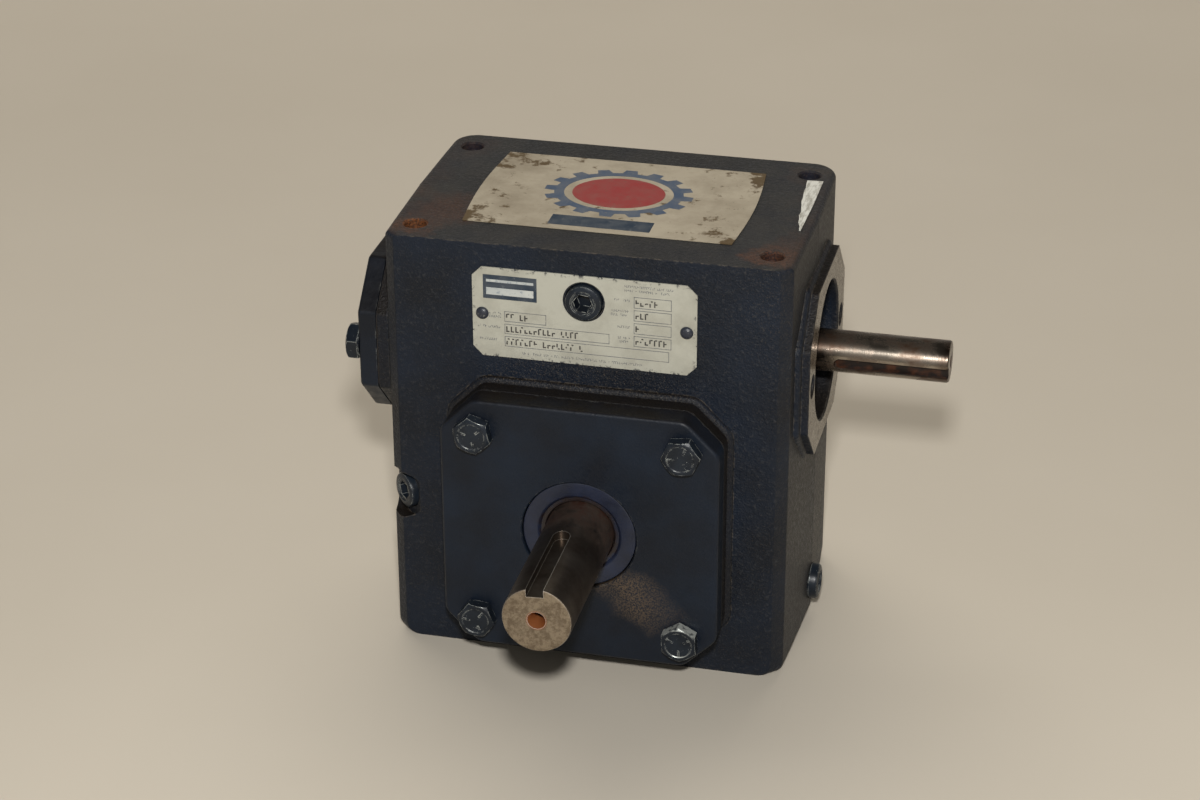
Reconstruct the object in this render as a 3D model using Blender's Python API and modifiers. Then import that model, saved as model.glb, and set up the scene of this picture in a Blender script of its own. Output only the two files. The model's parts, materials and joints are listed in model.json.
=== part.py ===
"""Right-angle worm gear reducer, modelled as separate pieces in metres, +Z up.

The origin is the middle of the housing's foot face. +X is the input shaft's side,
-Y is the output shaft's side. The worm turns on an axis along X, above the worm
wheel, which turns on an axis along Y.
"""
import math

import bmesh
import bpy
from mathutils import Euler, Matrix, Vector

# Housing ------------------------------------------------------------------
WIDTH = 0.1505              # along X, at the front and back faces
DEPTH = 0.1010              # along Y
HEIGHT = 0.1675             # foot face to top face
FRONT_CHAMFER = 0.0046      # upright corners at the front
BACK_RADIUS = 0.0070        # upright corners at the back
FOOT_RADIUS = 0.0050        # long lower edges of the two ends
CROWN_RADIUS = 0.0026       # long upper edges of the two ends
DRAFT_BULGE = 0.0025        # how far each end wall swells at the parting line
CROWN_BULGE = 0.0008        # what is left of that swelling at the top face
DRAFT_TOP = 0.105           # height where the swelling starts to fade
WALL = 0.0085
MOUNT_HOLE_X = 0.066
MOUNT_HOLE_Y = 0.0387
MOUNT_HOLE_RADIUS = 0.0042
MOUNT_HOLE_DEPTH = 0.018

# Shaft axes ---------------------------------------------------------------
OUTPUT_X = 0.0017
OUTPUT_Z = 0.0619
CENTRE_DISTANCE = 0.05237
INPUT_Z = OUTPUT_Z + CENTRE_DISTANCE

# Worm and wheel -----------------------------------------------------------
STARTS = 5
TEETH = 25
MODULE = 0.00303
PRESSURE_ANGLE = math.radians(20)
THINNING = 0.00014          # taken off each flank for backlash
WORM_LENGTH = 0.052
WHEEL_WIDTH = 0.022
WORM_SECTION_TURN = math.radians(18)
WHEEL_SECTIONS = 4
WHEEL_SEAT = 0.0170         # radius of the shaft inside the hub
RIM_BORE = 0.0285
HUB_FLANGE = 0.0240
KEY_HALF_WIDTH = 0.0030
KEY_HALF_LENGTH = 0.0150
KEY_LOW = 0.0135            # heights above the output axis
KEY_HIGH = 0.0199

# Input shaft --------------------------------------------------------------
INPUT_RADIUS = 0.0079375
INPUT_END = 0.1270
INPUT_KEYWAY_WIDTH = 0.0047625
INPUT_KEYWAY_LENGTH = 0.0425
INPUT_KEYWAY_DEPTH = 0.0025
INPUT_KEYWAY_ANGLE = math.radians(105)   # from straight up, turned towards the front

# Output shaft -------------------------------------------------------------
OUTPUT_RADIUS = 0.0127
OUTPUT_END = 0.1298
OUTPUT_KEYWAY_WIDTH = 0.00635
OUTPUT_KEYWAY_LENGTH = 0.0420
OUTPUT_KEYWAY_DEPTH = 0.0034
OUTPUT_KEYWAY_ANGLE = math.radians(3)    # from straight up, turned away from the input

# Input bosses, end cap and bearings ----------------------------------------
BOSS_HALF_WIDTH = 0.0390
RIGHT_BOSS_HALF_HEIGHT = 0.0330
LEFT_BOSS_HALF_HEIGHT = 0.0315
BOSS_CUT = 0.0165
BOSS_FLARE = 0.0016         # how much wider the boss is at its root
RIGHT_BOSS_FACE = WIDTH / 2 + 0.0055
LEFT_BOSS_FACE = -WIDTH / 2 - 0.0070
BEARING_BORE_RADIUS = 0.0260
INPUT_BEARING_INNER = 0.0100
INPUT_BEARING_WIDTH = 0.0150
RIGHT_BEARING_X = 0.0400    # inner end of the right-hand bearing
LEFT_BEARING_X = -0.0520    # outer end of the left-hand bearing
INPUT_SEAL_START = 0.0575
INPUT_SEAL_END = 0.0640
BALL_PITCH_RADIUS = 0.0180
BALL_RADIUS = 0.0041
CAP_HALF_WIDTH = 0.0385
CAP_HALF_HEIGHT = 0.0310
CAP_THICKNESS = 0.0070
CAP_BOLT_Y = 0.0320

# Output covers and bearings -------------------------------------------------
COVER_WIDTH = 0.1040
COVER_HEIGHT = 0.1020
COVER_CUT = 0.0125
COVER_CORNER_RADIUS = 0.0060
PAD_FACE = DEPTH / 2 + 0.0080
COVER_THICKNESS = 0.0090
COVER_BOLT_SPACING = 0.0774
SPIGOT_RADIUS = 0.0425
OPENING_RADIUS = 0.0430
OUTPUT_BEARING_OUTER = 0.0310
OUTPUT_BEARING_INNER = 0.0150
OUTPUT_BEARING_WIDTH = 0.0160
OUTPUT_BEARING_END = 0.0605
SEAL_RADIUS = 0.0213
SEAL_RECESS = 0.0010
SPIGOT_START = 0.0445       # inner end of the cover spigot
BEARING_BACK = 0.0420       # where the cutter for the bearing seat starts

# Fasteners and fittings -----------------------------------------------------
BOLT_ACROSS_FLATS = 0.0127
BOLT_HEAD = 0.0054
BOLT_RADIUS = 0.0039
BOLT_LENGTH = 0.0220
BOLT_CLEARANCE = 0.0004
BOLT_TURNS = (0.20, 0.62, 0.05, 0.40)
PLUG_RADIUS = 0.00685
PLUG_SOCKET_ACROSS = 0.00635
DRIVE_SCREW_RADIUS = 0.0011
DRIVE_SCREW_HOLE = 0.0014
LEVEL_PLUG_Z = 0.0607
LEVEL_PLUG_INSET = 0.0050   # below the corner where the plug's pocket is sunk
POCKET_RADIUS = 0.0100
POCKET_FLOOR = 0.0079
GASKET = 0.0004
SHEET_GAP = 0.0001          # between a thin sheet and what it lies on
FIT_GAP = 0.0003            # between two pieces that seat on each other

# Plates and labels ----------------------------------------------------------
NAMEPLATE_HALF_WIDTH = 0.0415
NAMEPLATE_LOW = 0.1232
NAMEPLATE_HIGH = 0.1585
NAMEPLATE_CUT = 0.0036
NAMEPLATE_THICKNESS = 0.0005
FILL_PLUG_Z = 0.1483
DRIVE_SCREW_X = 0.0378
DRIVE_SCREW_Z = 0.1402
LABEL_HALF_WIDTH = 0.0500
LABEL_FRONT = -0.0325
LABEL_BACK = 0.0355
LABEL_BOW = 0.0020
LABEL_THICKNESS = 0.0003

# Directions: the turn that lays a piece's own +Z along each way ---------------
TO_RIGHT = Euler((0, math.radians(90), 0)).to_matrix().to_4x4()
TO_LEFT = Euler((0, math.radians(-90), 0)).to_matrix().to_4x4()
TO_FRONT = Euler((math.radians(90), 0, 0)).to_matrix().to_4x4()
TO_BACK = Euler((math.radians(-90), 0, 0)).to_matrix().to_4x4()
UP = Matrix.Identity(4)

INPUT_AXIS = Matrix.Translation((0, 0, INPUT_Z)) @ TO_RIGHT
OUTPUT_AXIS = Matrix.Translation((OUTPUT_X, 0, OUTPUT_Z)) @ TO_FRONT


# Scene set-up -----------------------------------------------------------------

def clear_scene():
    for obj in list(bpy.data.objects):
        bpy.data.objects.remove(obj)


def new_collection(name):
    found = bpy.data.collections.get(name) or bpy.data.collections.new(name)
    if found.name not in bpy.context.scene.collection.children:
        bpy.context.scene.collection.children.link(found)
    return found


clear_scene()
PARTS = new_collection("worm_gear_reducer")
CUTTERS = new_collection("cutters")


def paint(name, colour, roughness, metallic):
    material = bpy.data.materials.new(name)
    material.use_nodes = True
    shader = material.node_tree.nodes["Principled BSDF"]
    shader.inputs["Base Color"].default_value = (*colour, 1)
    shader.inputs["Roughness"].default_value = roughness
    shader.inputs["Metallic"].default_value = metallic
    material.diffuse_color = (*colour, 1)
    return material


HOUSING_PAINT = paint("housing_paint", (0.022, 0.030, 0.048), 0.45, 0.0)
BOLT_STEEL = paint("painted_bolt", (0.060, 0.070, 0.090), 0.35, 0.6)
SHAFT_STEEL = paint("shaft_steel", (0.42, 0.38, 0.34), 0.30, 1.0)
BEARING_STEEL = paint("bearing_steel", (0.62, 0.62, 0.62), 0.20, 1.0)
BRONZE = paint("wheel_bronze", (0.62, 0.36, 0.12), 0.30, 1.0)
CAST_IRON = paint("cast_iron", (0.16, 0.16, 0.16), 0.60, 0.8)
SEAL_RUBBER = paint("seal_rubber", (0.030, 0.034, 0.050), 0.50, 0.0)
GASKET_SHEET = paint("gasket_sheet", (0.20, 0.16, 0.10), 0.80, 0.0)
PLATE_FOIL = paint("nameplate_foil", (0.72, 0.71, 0.66), 0.35, 0.2)
LABEL_FILM = paint("label_film", (0.60, 0.53, 0.42), 0.50, 0.0)


# Shape tools --------------------------------------------------------------------

def add_object(name, mesh, matrix=UP, material=None, collection=PARTS):
    obj = bpy.data.objects.new(name, mesh)
    obj.matrix_world = matrix
    if material:
        mesh.materials.append(material)
    collection.objects.link(obj)
    return obj


def as_cutter(obj):
    """Takes a shape out of the finished model, so that it only cuts or joins."""
    for found in list(obj.users_collection):
        found.objects.unlink(obj)
    CUTTERS.objects.link(obj)
    obj.hide_render = True
    obj.display_type = "WIRE"
    return obj


def combine(obj, other, operation):
    modifier = obj.modifiers.new(other.name, "BOOLEAN")
    modifier.operation = operation
    modifier.solver = "EXACT"
    modifier.object = as_cutter(other)


def cut(obj, *others):
    for other in others:
        combine(obj, other, "DIFFERENCE")


def join(obj, *others):
    for other in others:
        combine(obj, other, "UNION")


def smooth(mesh, degrees=35):
    mesh.shade_smooth()
    mesh.set_sharp_from_angle(angle=math.radians(degrees))


def block(name, low, high, material=None):
    low, high = Vector(low), Vector(high)
    mesh = bpy.data.meshes.new(name)
    body = bmesh.new()
    bmesh.ops.create_cube(body, size=1)
    bmesh.ops.scale(body, vec=high - low, verts=body.verts)
    bmesh.ops.translate(body, vec=(low + high) / 2, verts=body.verts)
    body.to_mesh(mesh)
    body.free()
    return add_object(name, mesh, UP, material)


def rod(name, radius, start, end, axis, material=None, segments=32, turn=0):
    """A cylinder along the axis frame's +Z, from start to end."""
    mesh = bpy.data.meshes.new(name)
    body = bmesh.new()
    bmesh.ops.create_cone(body, cap_ends=True, segments=segments, radius1=radius,
                          radius2=radius, depth=end - start)
    place = Matrix.Translation((0, 0, (start + end) / 2)) @ Matrix.Rotation(turn, 4, "Z")
    bmesh.ops.transform(body, matrix=place, verts=body.verts)
    body.to_mesh(mesh)
    body.free()
    smooth(mesh)
    return add_object(name, mesh, axis, material)


def turned(name, profile, axis, material=None, steps=48, closed=False):
    """A turned piece: (radius, height) points, down its outer side, about the axis frame's +Z."""
    mesh = bpy.data.meshes.new(name)
    points = [(radius, 0, height) for radius, height in profile]
    edges = [(i, i + 1) for i in range(len(points) - 1)]
    if closed:
        edges.append((len(points) - 1, 0))
    mesh.from_pydata(points, edges, [])
    obj = add_object(name, mesh, axis, material)
    screw = obj.modifiers.new("turn", "SCREW")
    screw.steps = steps
    screw.render_steps = steps
    screw.use_merge_vertices = True
    screw.merge_threshold = 0.00001
    settle(obj)
    return obj


def settle(obj):
    """Swaps a shape for the finished mesh that its modifiers make, shaded smooth."""
    depsgraph = bpy.context.evaluated_depsgraph_get()
    mesh = bpy.data.meshes.new_from_object(obj.evaluated_get(depsgraph))
    mesh.name = obj.name
    obj.modifiers.clear()
    obj.data = mesh
    smooth(mesh)


def regular_polygon(radius, count, turn=0.0):
    step = 2 * math.pi / count
    return [(radius * math.cos(turn + i * step), radius * math.sin(turn + i * step))
            for i in range(count)]


def cut_corner_outline(half_width, half_height, corner):
    """A rectangle about its middle, with its four corners cut off at 45 degrees."""
    x, y, c = half_width, half_height, corner
    return [(x, y - c), (x - c, y), (c - x, y), (-x, y - c),
            (-x, c - y), (c - x, -y), (x - c, -y), (x, c - y)]


def round_corners(outline, radius, steps=3):
    """Swaps each corner of a convex outline for an arc."""
    result = []
    for i, corner in enumerate(outline):
        here = Vector(corner)
        to_last = (Vector(outline[i - 1]) - here).normalized()
        to_next = (Vector(outline[(i + 1) % len(outline)]) - here).normalized()
        half = to_last.angle(to_next) / 2
        centre = here + (to_last + to_next).normalized() * radius / math.sin(half)
        first = here + to_last * radius / math.tan(half) - centre
        last = here + to_next * radius / math.tan(half) - centre
        swing = first.angle_signed(last)
        for step in range(steps + 1):
            turn = Matrix.Rotation(-swing * step / steps, 2)
            point = centre + turn @ first
            result.append((point.x, point.y))
    return result


def plate(name, outline, start, end, frame, material=None, holes=()):
    """A flat outline with thickness, from start to end along the frame's +Z."""
    curve = bpy.data.curves.new(name, "CURVE")
    curve.dimensions = "2D"
    curve.fill_mode = "BOTH"
    curve.extrude = (end - start) / 2
    for loop in (outline, *holes):
        spline = curve.splines.new("POLY")
        spline.points.add(len(loop) - 1)
        for point, (x, y) in zip(spline.points, loop):
            point.co = (x, y, 0, 1)
        spline.use_cyclic_u = True
    flat = bpy.data.objects.new(name + "_outline", curve)
    CUTTERS.objects.link(flat)
    depsgraph = bpy.context.evaluated_depsgraph_get()
    mesh = bpy.data.meshes.new_from_object(flat.evaluated_get(depsgraph))
    mesh.name = name
    bpy.data.objects.remove(flat)
    body = bmesh.new()
    body.from_mesh(mesh)
    bmesh.ops.remove_doubles(body, verts=body.verts, dist=0.000001)
    bmesh.ops.translate(body, vec=(0, 0, (start + end) / 2), verts=body.verts)
    bmesh.ops.recalc_face_normals(body, faces=body.faces)
    body.to_mesh(mesh)
    body.free()
    mesh.materials.clear()
    return add_object(name, mesh, frame, material)


def loft(name, sections, frame=UP, material=None):
    """A closed skin over rings of points, each ring with the same count."""
    mesh = bpy.data.meshes.new(name)
    body = bmesh.new()
    rings = [[body.verts.new(point) for point in section] for section in sections]
    count = len(rings[0])
    for low, high in zip(rings, rings[1:]):
        for i in range(count):
            j = (i + 1) % count
            body.faces.new((low[i], low[j], high[j], high[i]))
    body.faces.new(list(reversed(rings[0])))
    body.faces.new(rings[-1])
    bmesh.ops.recalc_face_normals(body, faces=body.faces)
    body.to_mesh(mesh)
    body.free()
    return add_object(name, mesh, frame, material)


# Housing ---------------------------------------------------------------------------

def edge_inset(height):
    """How far an end wall is drawn in by the rounding of its lower and upper edges."""
    for radius, gap in ((FOOT_RADIUS, height), (CROWN_RADIUS, HEIGHT - height)):
        if gap < radius:
            return radius - math.sqrt(radius ** 2 - (radius - gap) ** 2)
    return 0.0


def draft_bulge(height):
    """How far an end wall swells at the parting line, at this height."""
    if height <= DRAFT_TOP:
        return DRAFT_BULGE
    share = (height - DRAFT_TOP) / (HEIGHT - DRAFT_TOP)
    return DRAFT_BULGE + (CROWN_BULGE - DRAFT_BULGE) * share


def right_half_outline(height):
    """The housing's outline seen from above, from the front round to the back."""
    x = WIDTH / 2 - edge_inset(height)
    y = DEPTH / 2
    points = [(x - FRONT_CHAMFER, -y), (x, -y + FRONT_CHAMFER), (x + draft_bulge(height), 0)]
    for step in range(4):
        angle = math.radians(90) * step / 3
        points.append((x - BACK_RADIUS + BACK_RADIUS * math.cos(angle),
                       y - BACK_RADIUS + BACK_RADIUS * math.sin(angle)))
    return points


def housing_heights():
    """Section heights: close together round the foot and crown edges, and few between."""
    arc = [math.radians(90) * step / 3 for step in range(4)]
    foot = [FOOT_RADIUS * (1 - math.cos(angle)) for angle in arc]
    crown = [HEIGHT - CROWN_RADIUS * (1 - math.cos(angle)) for angle in reversed(arc)]
    return foot + [DRAFT_TOP] + crown


def housing_casting():
    sections = []
    for height in housing_heights():
        right = right_half_outline(height)
        left = [(-x, y) for x, y in reversed(right)]
        sections.append([(x, y, height) for x, y in right + left])
    return loft("housing", sections, UP, HOUSING_PAINT)


def input_boss(name, root, face, half_height):
    """One eight-sided bearing boss on an end wall, a little wider at its root."""
    sections = []
    for x, grow in ((root, BOSS_FLARE), (face, 0.0)):
        outline = cut_corner_outline(BOSS_HALF_WIDTH + grow, half_height + grow,
                                     BOSS_CUT + grow * 0.6)
        sections.append([(x, y, INPUT_Z + z) for y, z in outline])
    return loft(name, sections)


def cover_outline(grow=0.0):
    sharp = cut_corner_outline(COVER_WIDTH / 2 + grow, COVER_HEIGHT / 2 + grow,
                               COVER_CUT + grow * 0.6)
    return round_corners(sharp, COVER_CORNER_RADIUS)


def cover_pad(name, side):
    """The raised seat of an output cover; side is -1 at the front and 1 at the back."""
    sections = []
    for y, grow in ((side * 0.044, 0.0014), (side * DEPTH / 2, 0.0014), (side * PAD_FACE, 0.0)):
        sections.append([(OUTPUT_X + x, y, OUTPUT_Z + z) for x, z in cover_outline(grow)])
    return loft(name, sections)


def gear_chamber():
    """The hollow for the wheel below, with a narrower hollow for the worm above."""
    half_width = WIDTH / 2 - WALL
    half_depth = DEPTH / 2 - 0.0105
    lower = block("chamber", (-half_width, -half_depth, WALL), (half_width, half_depth, 0.080))
    upper = block("worm_chamber", (-0.034, -0.028, 0.078), (0.038, 0.028, 0.153))
    join(lower, upper)
    return lower


def bolt_points(side):
    """Cover bolt places, clockwise from the upper left, at the pad's face."""
    half = COVER_BOLT_SPACING / 2
    return [(OUTPUT_X + x, side * PAD_FACE, OUTPUT_Z + z)
            for x, z in ((-half, half), (half, half), (half, -half), (-half, -half))]


def drill(name, point, direction, radius, depth, segments=10):
    """A round cutter that starts just outside a face and runs along the direction."""
    frame = Matrix.Translation(point) @ direction
    return rod(name, radius, -0.002, depth, frame, None, segments)


def housing_drillings():
    holes = []
    for x in (-MOUNT_HOLE_X, MOUNT_HOLE_X):
        for y in (-MOUNT_HOLE_Y, MOUNT_HOLE_Y):
            down = Matrix.Rotation(math.radians(180), 4, "X")
            holes.append(drill("top_hole", (x, y, HEIGHT), down,
                               MOUNT_HOLE_RADIUS, MOUNT_HOLE_DEPTH, 16))
            holes.append(drill("foot_hole", (x, y, 0), UP,
                               MOUNT_HOLE_RADIUS, MOUNT_HOLE_DEPTH, 16))
    for side, inward in ((-1, TO_BACK), (1, TO_FRONT)):
        for point in bolt_points(side):
            holes.append(drill("cover_bolt_hole", point, inward,
                               BOLT_RADIUS + FIT_GAP, BOLT_LENGTH - COVER_THICKNESS + 0.002))
    for face, inward in ((RIGHT_BOSS_FACE, TO_LEFT), (LEFT_BOSS_FACE, TO_RIGHT)):
        for y in (-CAP_BOLT_Y, CAP_BOLT_Y):
            holes.append(drill("boss_bolt_hole", (face, y, INPUT_Z), inward,
                               BOLT_RADIUS + FIT_GAP, 0.018))
    return holes


# Where each pipe plug sits: the middle of its outer face, and the way it points
FILL_PLUG = Matrix.Translation((0, -DEPTH / 2 - 0.0025, FILL_PLUG_Z)) @ TO_FRONT
DRAIN_PLUG = Matrix.Translation((WIDTH / 2 + 0.0060, 0, 0.0144)) @ TO_RIGHT
CORNER = Matrix.Translation((-WIDTH / 2, -DEPTH / 2, LEVEL_PLUG_Z))
CORNER_OUT = Matrix.Rotation(math.radians(-45), 4, "Z") @ TO_FRONT
LEVEL_PLUG = CORNER @ CORNER_OUT @ Matrix.Translation((0, 0, -LEVEL_PLUG_INSET))


def plug_holes():
    fill = rod("fill_hole", PLUG_RADIUS + FIT_GAP, -0.030, 0.001, FILL_PLUG, None, 16)
    drain = rod("drain_hole", PLUG_RADIUS + FIT_GAP, -0.022, 0.001, DRAIN_PLUG, None, 16)
    pocket = rod("level_pocket", POCKET_RADIUS, -POCKET_FLOOR, 0.006, CORNER @ CORNER_OUT, None, 24)
    level = rod("level_hole", PLUG_RADIUS + FIT_GAP, -0.016, 0.001, LEVEL_PLUG, None, 16)
    return [fill, drain, pocket, level]


def drive_screw_holes():
    return [drill("screw_hole", (x, -DEPTH / 2, DRIVE_SCREW_Z), TO_BACK,
                  DRIVE_SCREW_HOLE, 0.0056, 8)
            for x in (-DRIVE_SCREW_X, DRIVE_SCREW_X)]


def make_housing():
    housing = housing_casting()
    join(housing, input_boss("right_boss", 0.066, RIGHT_BOSS_FACE, RIGHT_BOSS_HALF_HEIGHT),
         input_boss("left_boss", -0.066, LEFT_BOSS_FACE, LEFT_BOSS_HALF_HEIGHT),
         cover_pad("front_pad", -1), cover_pad("back_pad", 1))
    right_tube = rod("right_bearing_tube", 0.031, 0.0385, 0.072, INPUT_AXIS, None, 24)
    left_tube = rod("left_bearing_tube", 0.031, -0.072, -0.0365, INPUT_AXIS, None, 24)
    opening = rod("cover_openings", OPENING_RADIUS, -0.066, 0.066, OUTPUT_AXIS, None, 36)
    bore = rod("input_bore", BEARING_BORE_RADIUS + FIT_GAP, LEFT_BOSS_FACE - 0.002,
               RIGHT_BOSS_FACE + 0.002, INPUT_AXIS, None, 36)
    cut(housing, gear_chamber())
    join(housing, right_tube, left_tube)
    cut(housing, opening, bore, *housing_drillings(), *plug_holes(), *drive_screw_holes())


# Output covers ------------------------------------------------------------------------

def cover_bolt_holes(side):
    outward = TO_FRONT if side < 0 else TO_BACK
    return [drill("cover_hole", point, outward, BOLT_RADIUS + BOLT_CLEARANCE, COVER_THICKNESS + 0.003)
            for point in bolt_points(side)]


def make_cover(name, side, through):
    """An output cover: a plate with a spigot that carries a bearing, closed or with a seal."""
    frame = Matrix.Translation((OUTPUT_X, 0, OUTPUT_Z)) @ (TO_FRONT if side < 0 else TO_BACK)
    back = PAD_FACE + GASKET + 2 * SHEET_GAP
    face = back + COVER_THICKNESS
    cover = plate(name, cover_outline(), back, face, frame, HOUSING_PAINT)
    spigot = rod(name + "_spigot", SPIGOT_RADIUS, SPIGOT_START, back + 0.002, frame, None, 36)
    join(cover, spigot)
    seat = rod(name + "_seat", OUTPUT_BEARING_OUTER + FIT_GAP, BEARING_BACK,
               OUTPUT_BEARING_END + FIT_GAP, frame, None, 36)
    cut(cover, seat, *cover_bolt_holes(side))
    if through:
        cut(cover, rod(name + "_bore", SEAL_RADIUS + FIT_GAP, BEARING_BACK, face + 0.002, frame,
                       None, 36))


def make_cover_gasket(name, side):
    frame = Matrix.Translation((OUTPUT_X, 0, OUTPUT_Z)) @ (TO_FRONT if side < 0 else TO_BACK)
    start = PAD_FACE + SHEET_GAP
    half = COVER_BOLT_SPACING / 2
    holes = [regular_polygon(OPENING_RADIUS + 0.0004, 36)]
    for x in (-half, half):
        for y in (-half, half):
            circle = regular_polygon(BOLT_RADIUS + 0.0005, 8)
            holes.append([(x + u, y + v) for u, v in circle])
    plate(name, cover_outline(-0.0003), start, start + GASKET, frame, GASKET_SHEET, holes)


# Input end cap ---------------------------------------------------------------------------

def make_end_cap():
    """The closed cap on the left boss: an eight-sided plate and a spigot up to the bearing."""
    frame = Matrix.Translation((0, 0, INPUT_Z)) @ TO_LEFT
    start = -LEFT_BOSS_FACE + GASKET + 2 * SHEET_GAP
    outline = round_corners(cut_corner_outline(CAP_HALF_HEIGHT, CAP_HALF_WIDTH, BOSS_CUT - 0.0005),
                            0.0015, 2)
    cap = plate("input_end_cap", outline, start, start + CAP_THICKNESS, frame, HOUSING_PAINT)
    spigot = turned("end_cap_spigot",
                    [(0.0, start + 0.002), (0.0255, start + 0.002), (0.0255, 0.0523),
                     (0.0215, 0.0523), (0.0215, start - 0.003), (0.0, start - 0.003)],
                    frame, None, 28)
    join(cap, spigot)
    for y in (-CAP_BOLT_Y, CAP_BOLT_Y):
        cut(cap, drill("cap_hole", (LEFT_BOSS_FACE, y, INPUT_Z), TO_LEFT,
                       BOLT_RADIUS + BOLT_CLEARANCE, CAP_THICKNESS + 0.003))
    gasket_holes = [regular_polygon(BEARING_BORE_RADIUS + 0.0005, 28)]
    for y in (-CAP_BOLT_Y, CAP_BOLT_Y):
        circle = regular_polygon(BOLT_RADIUS + 0.0005, 8)
        gasket_holes.append([(u, y + v) for u, v in circle])
    edge = cut_corner_outline(CAP_HALF_HEIGHT - 0.0004, CAP_HALF_WIDTH - 0.0004, BOSS_CUT)
    first = -LEFT_BOSS_FACE + SHEET_GAP
    plate("end_cap_gasket", edge, first, first + GASKET, frame, GASKET_SHEET, gasket_holes)


# Fasteners and plugs ------------------------------------------------------------------------

def make_bolt(name, seat, outward, turn):
    """A hexagon bolt; the seat is the middle of the face that its head bears on."""
    frame = Matrix.Translation(seat) @ outward
    corner = BOLT_ACROSS_FLATS / math.sqrt(3)
    washer = FIT_GAP + 0.0005
    dome = [(0.0, BOLT_HEAD), (corner * 0.82, BOLT_HEAD), (corner * 1.03, BOLT_HEAD - 0.0011),
            (corner * 1.03, washer), (0.0, washer)]
    bolt = turned(name, dome, frame, BOLT_STEEL, 12)
    prism = rod(name + "_hexagon", corner, washer - 0.001, BOLT_HEAD + 0.002, frame, None, 6, turn)
    combine(bolt, prism, "INTERSECT")
    stem = [(0.0, washer + 0.001), (corner * 0.84, washer + 0.001), (corner * 0.84, FIT_GAP),
            (BOLT_RADIUS, FIT_GAP), (BOLT_RADIUS, -BOLT_LENGTH), (0.0, -BOLT_LENGTH)]
    join(bolt, turned(name + "_stem", stem, frame, None, 10))


def make_cover_bolts():
    for prefix, side, outward in (("front", -1, TO_FRONT), ("rear", 1, TO_BACK)):
        for number, point in enumerate(bolt_points(side), 1):
            seat = Vector(point)
            seat.y += side * (GASKET + 2 * SHEET_GAP + COVER_THICKNESS)
            make_bolt(f"{prefix}_cover_bolt_{number}", seat, outward, BOLT_TURNS[number - 1])


def make_cap_bolts():
    seat_x = LEFT_BOSS_FACE - GASKET - 2 * SHEET_GAP - CAP_THICKNESS
    for number, y in enumerate((-CAP_BOLT_Y, CAP_BOLT_Y), 1):
        make_bolt(f"end_cap_bolt_{number}", (seat_x, y, INPUT_Z), TO_LEFT, 0.35)


def make_plug(name, frame, length):
    """A taper-threaded pipe plug with a hexagon socket in its face."""
    profile = [(0.0, 0.0), (PLUG_RADIUS - 0.0006, 0.0), (PLUG_RADIUS, -0.0006),
               (PLUG_RADIUS, 0.0008 - length), (PLUG_RADIUS - 0.0008, -length), (0.0, -length)]
    plug = turned(name, profile, frame, BOLT_STEEL, 18)
    socket = rod(name + "_socket", PLUG_SOCKET_ACROSS / math.sqrt(3), -0.0055, 0.001, frame,
                 None, 6, 0.4)
    cut(plug, socket)


def make_drive_screw(name, x):
    face = DEPTH / 2 + SHEET_GAP * 2 + NAMEPLATE_THICKNESS
    frame = Matrix.Translation((x, 0, DRIVE_SCREW_Z)) @ TO_FRONT
    profile = [(0.0, face + 0.0014), (0.0013, face + 0.0012), (0.0022, face + 0.0006),
               (0.0024, face + 0.0001), (DRIVE_SCREW_RADIUS, face + 0.0001),
               (DRIVE_SCREW_RADIUS, face - 0.0050),
               (0.0, face - 0.0050)]
    turned(name, profile, frame, BOLT_STEEL, 12)


# Plates and labels ----------------------------------------------------------------------------

def make_nameplate():
    middle = (NAMEPLATE_LOW + NAMEPLATE_HIGH) / 2
    flat = cut_corner_outline(NAMEPLATE_HALF_WIDTH, (NAMEPLATE_HIGH - NAMEPLATE_LOW) / 2,
                              NAMEPLATE_CUT)
    outline = [(x, middle + z) for x, z in flat]
    plug_hole = [(u, FILL_PLUG_Z + v) for u, v in regular_polygon(0.0078, 24)]
    holes = [plug_hole]
    for x in (-DRIVE_SCREW_X, DRIVE_SCREW_X):
        holes.append([(x + u, DRIVE_SCREW_Z + v) for u, v in regular_polygon(DRIVE_SCREW_HOLE, 8)])
    start = DEPTH / 2 + SHEET_GAP
    plate("nameplate", outline, start, start + NAMEPLATE_THICKNESS, TO_FRONT, PLATE_FOIL, holes)


def bowed_side(x, bow, low, high, steps=6):
    """Points up one side of the label, bowed outwards in the middle."""
    points = []
    for step in range(steps + 1):
        share = step / steps
        points.append((x + bow * math.sin(math.pi * share), low + (high - low) * share))
    return points


def make_top_label():
    right = bowed_side(LABEL_HALF_WIDTH, LABEL_BOW, LABEL_FRONT, LABEL_BACK)
    left = [(-x, y) for x, y in reversed(right)]
    start = HEIGHT + SHEET_GAP
    plate("top_label", right + left, start, start + LABEL_THICKNESS, UP, LABEL_FILM)


def make_label_remnant():
    """What is left of a second label, torn off along the right edge of the top face."""
    outline = [(0.0662, 0.0325), (0.0672, 0.0155), (0.0685, 0.0000), (0.0709, -0.0145),
               (0.0718, -0.0145), (0.0723, 0.0100), (0.0722, 0.0330)]
    start = HEIGHT + SHEET_GAP
    plate("torn_label", outline, start, start + LABEL_THICKNESS, UP, LABEL_FILM)


# Seals and bearings ------------------------------------------------------------------------------

def make_oil_seal(name, bore, outer, start, end, axis, steps):
    """A lip seal: a metal-cased ring whose outer face dishes in towards the lip."""
    profile = [(bore + FIT_GAP, end - 0.0012), (bore + 0.0022, end - 0.0012), (bore + 0.0032, end),
               (outer, end), (outer, start), (outer - 0.0012, start),
               (outer - 0.0012, end - 0.0022), (bore + FIT_GAP, end - 0.0022)]
    turned(name, profile, axis, SEAL_RUBBER, steps, closed=True)


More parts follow.
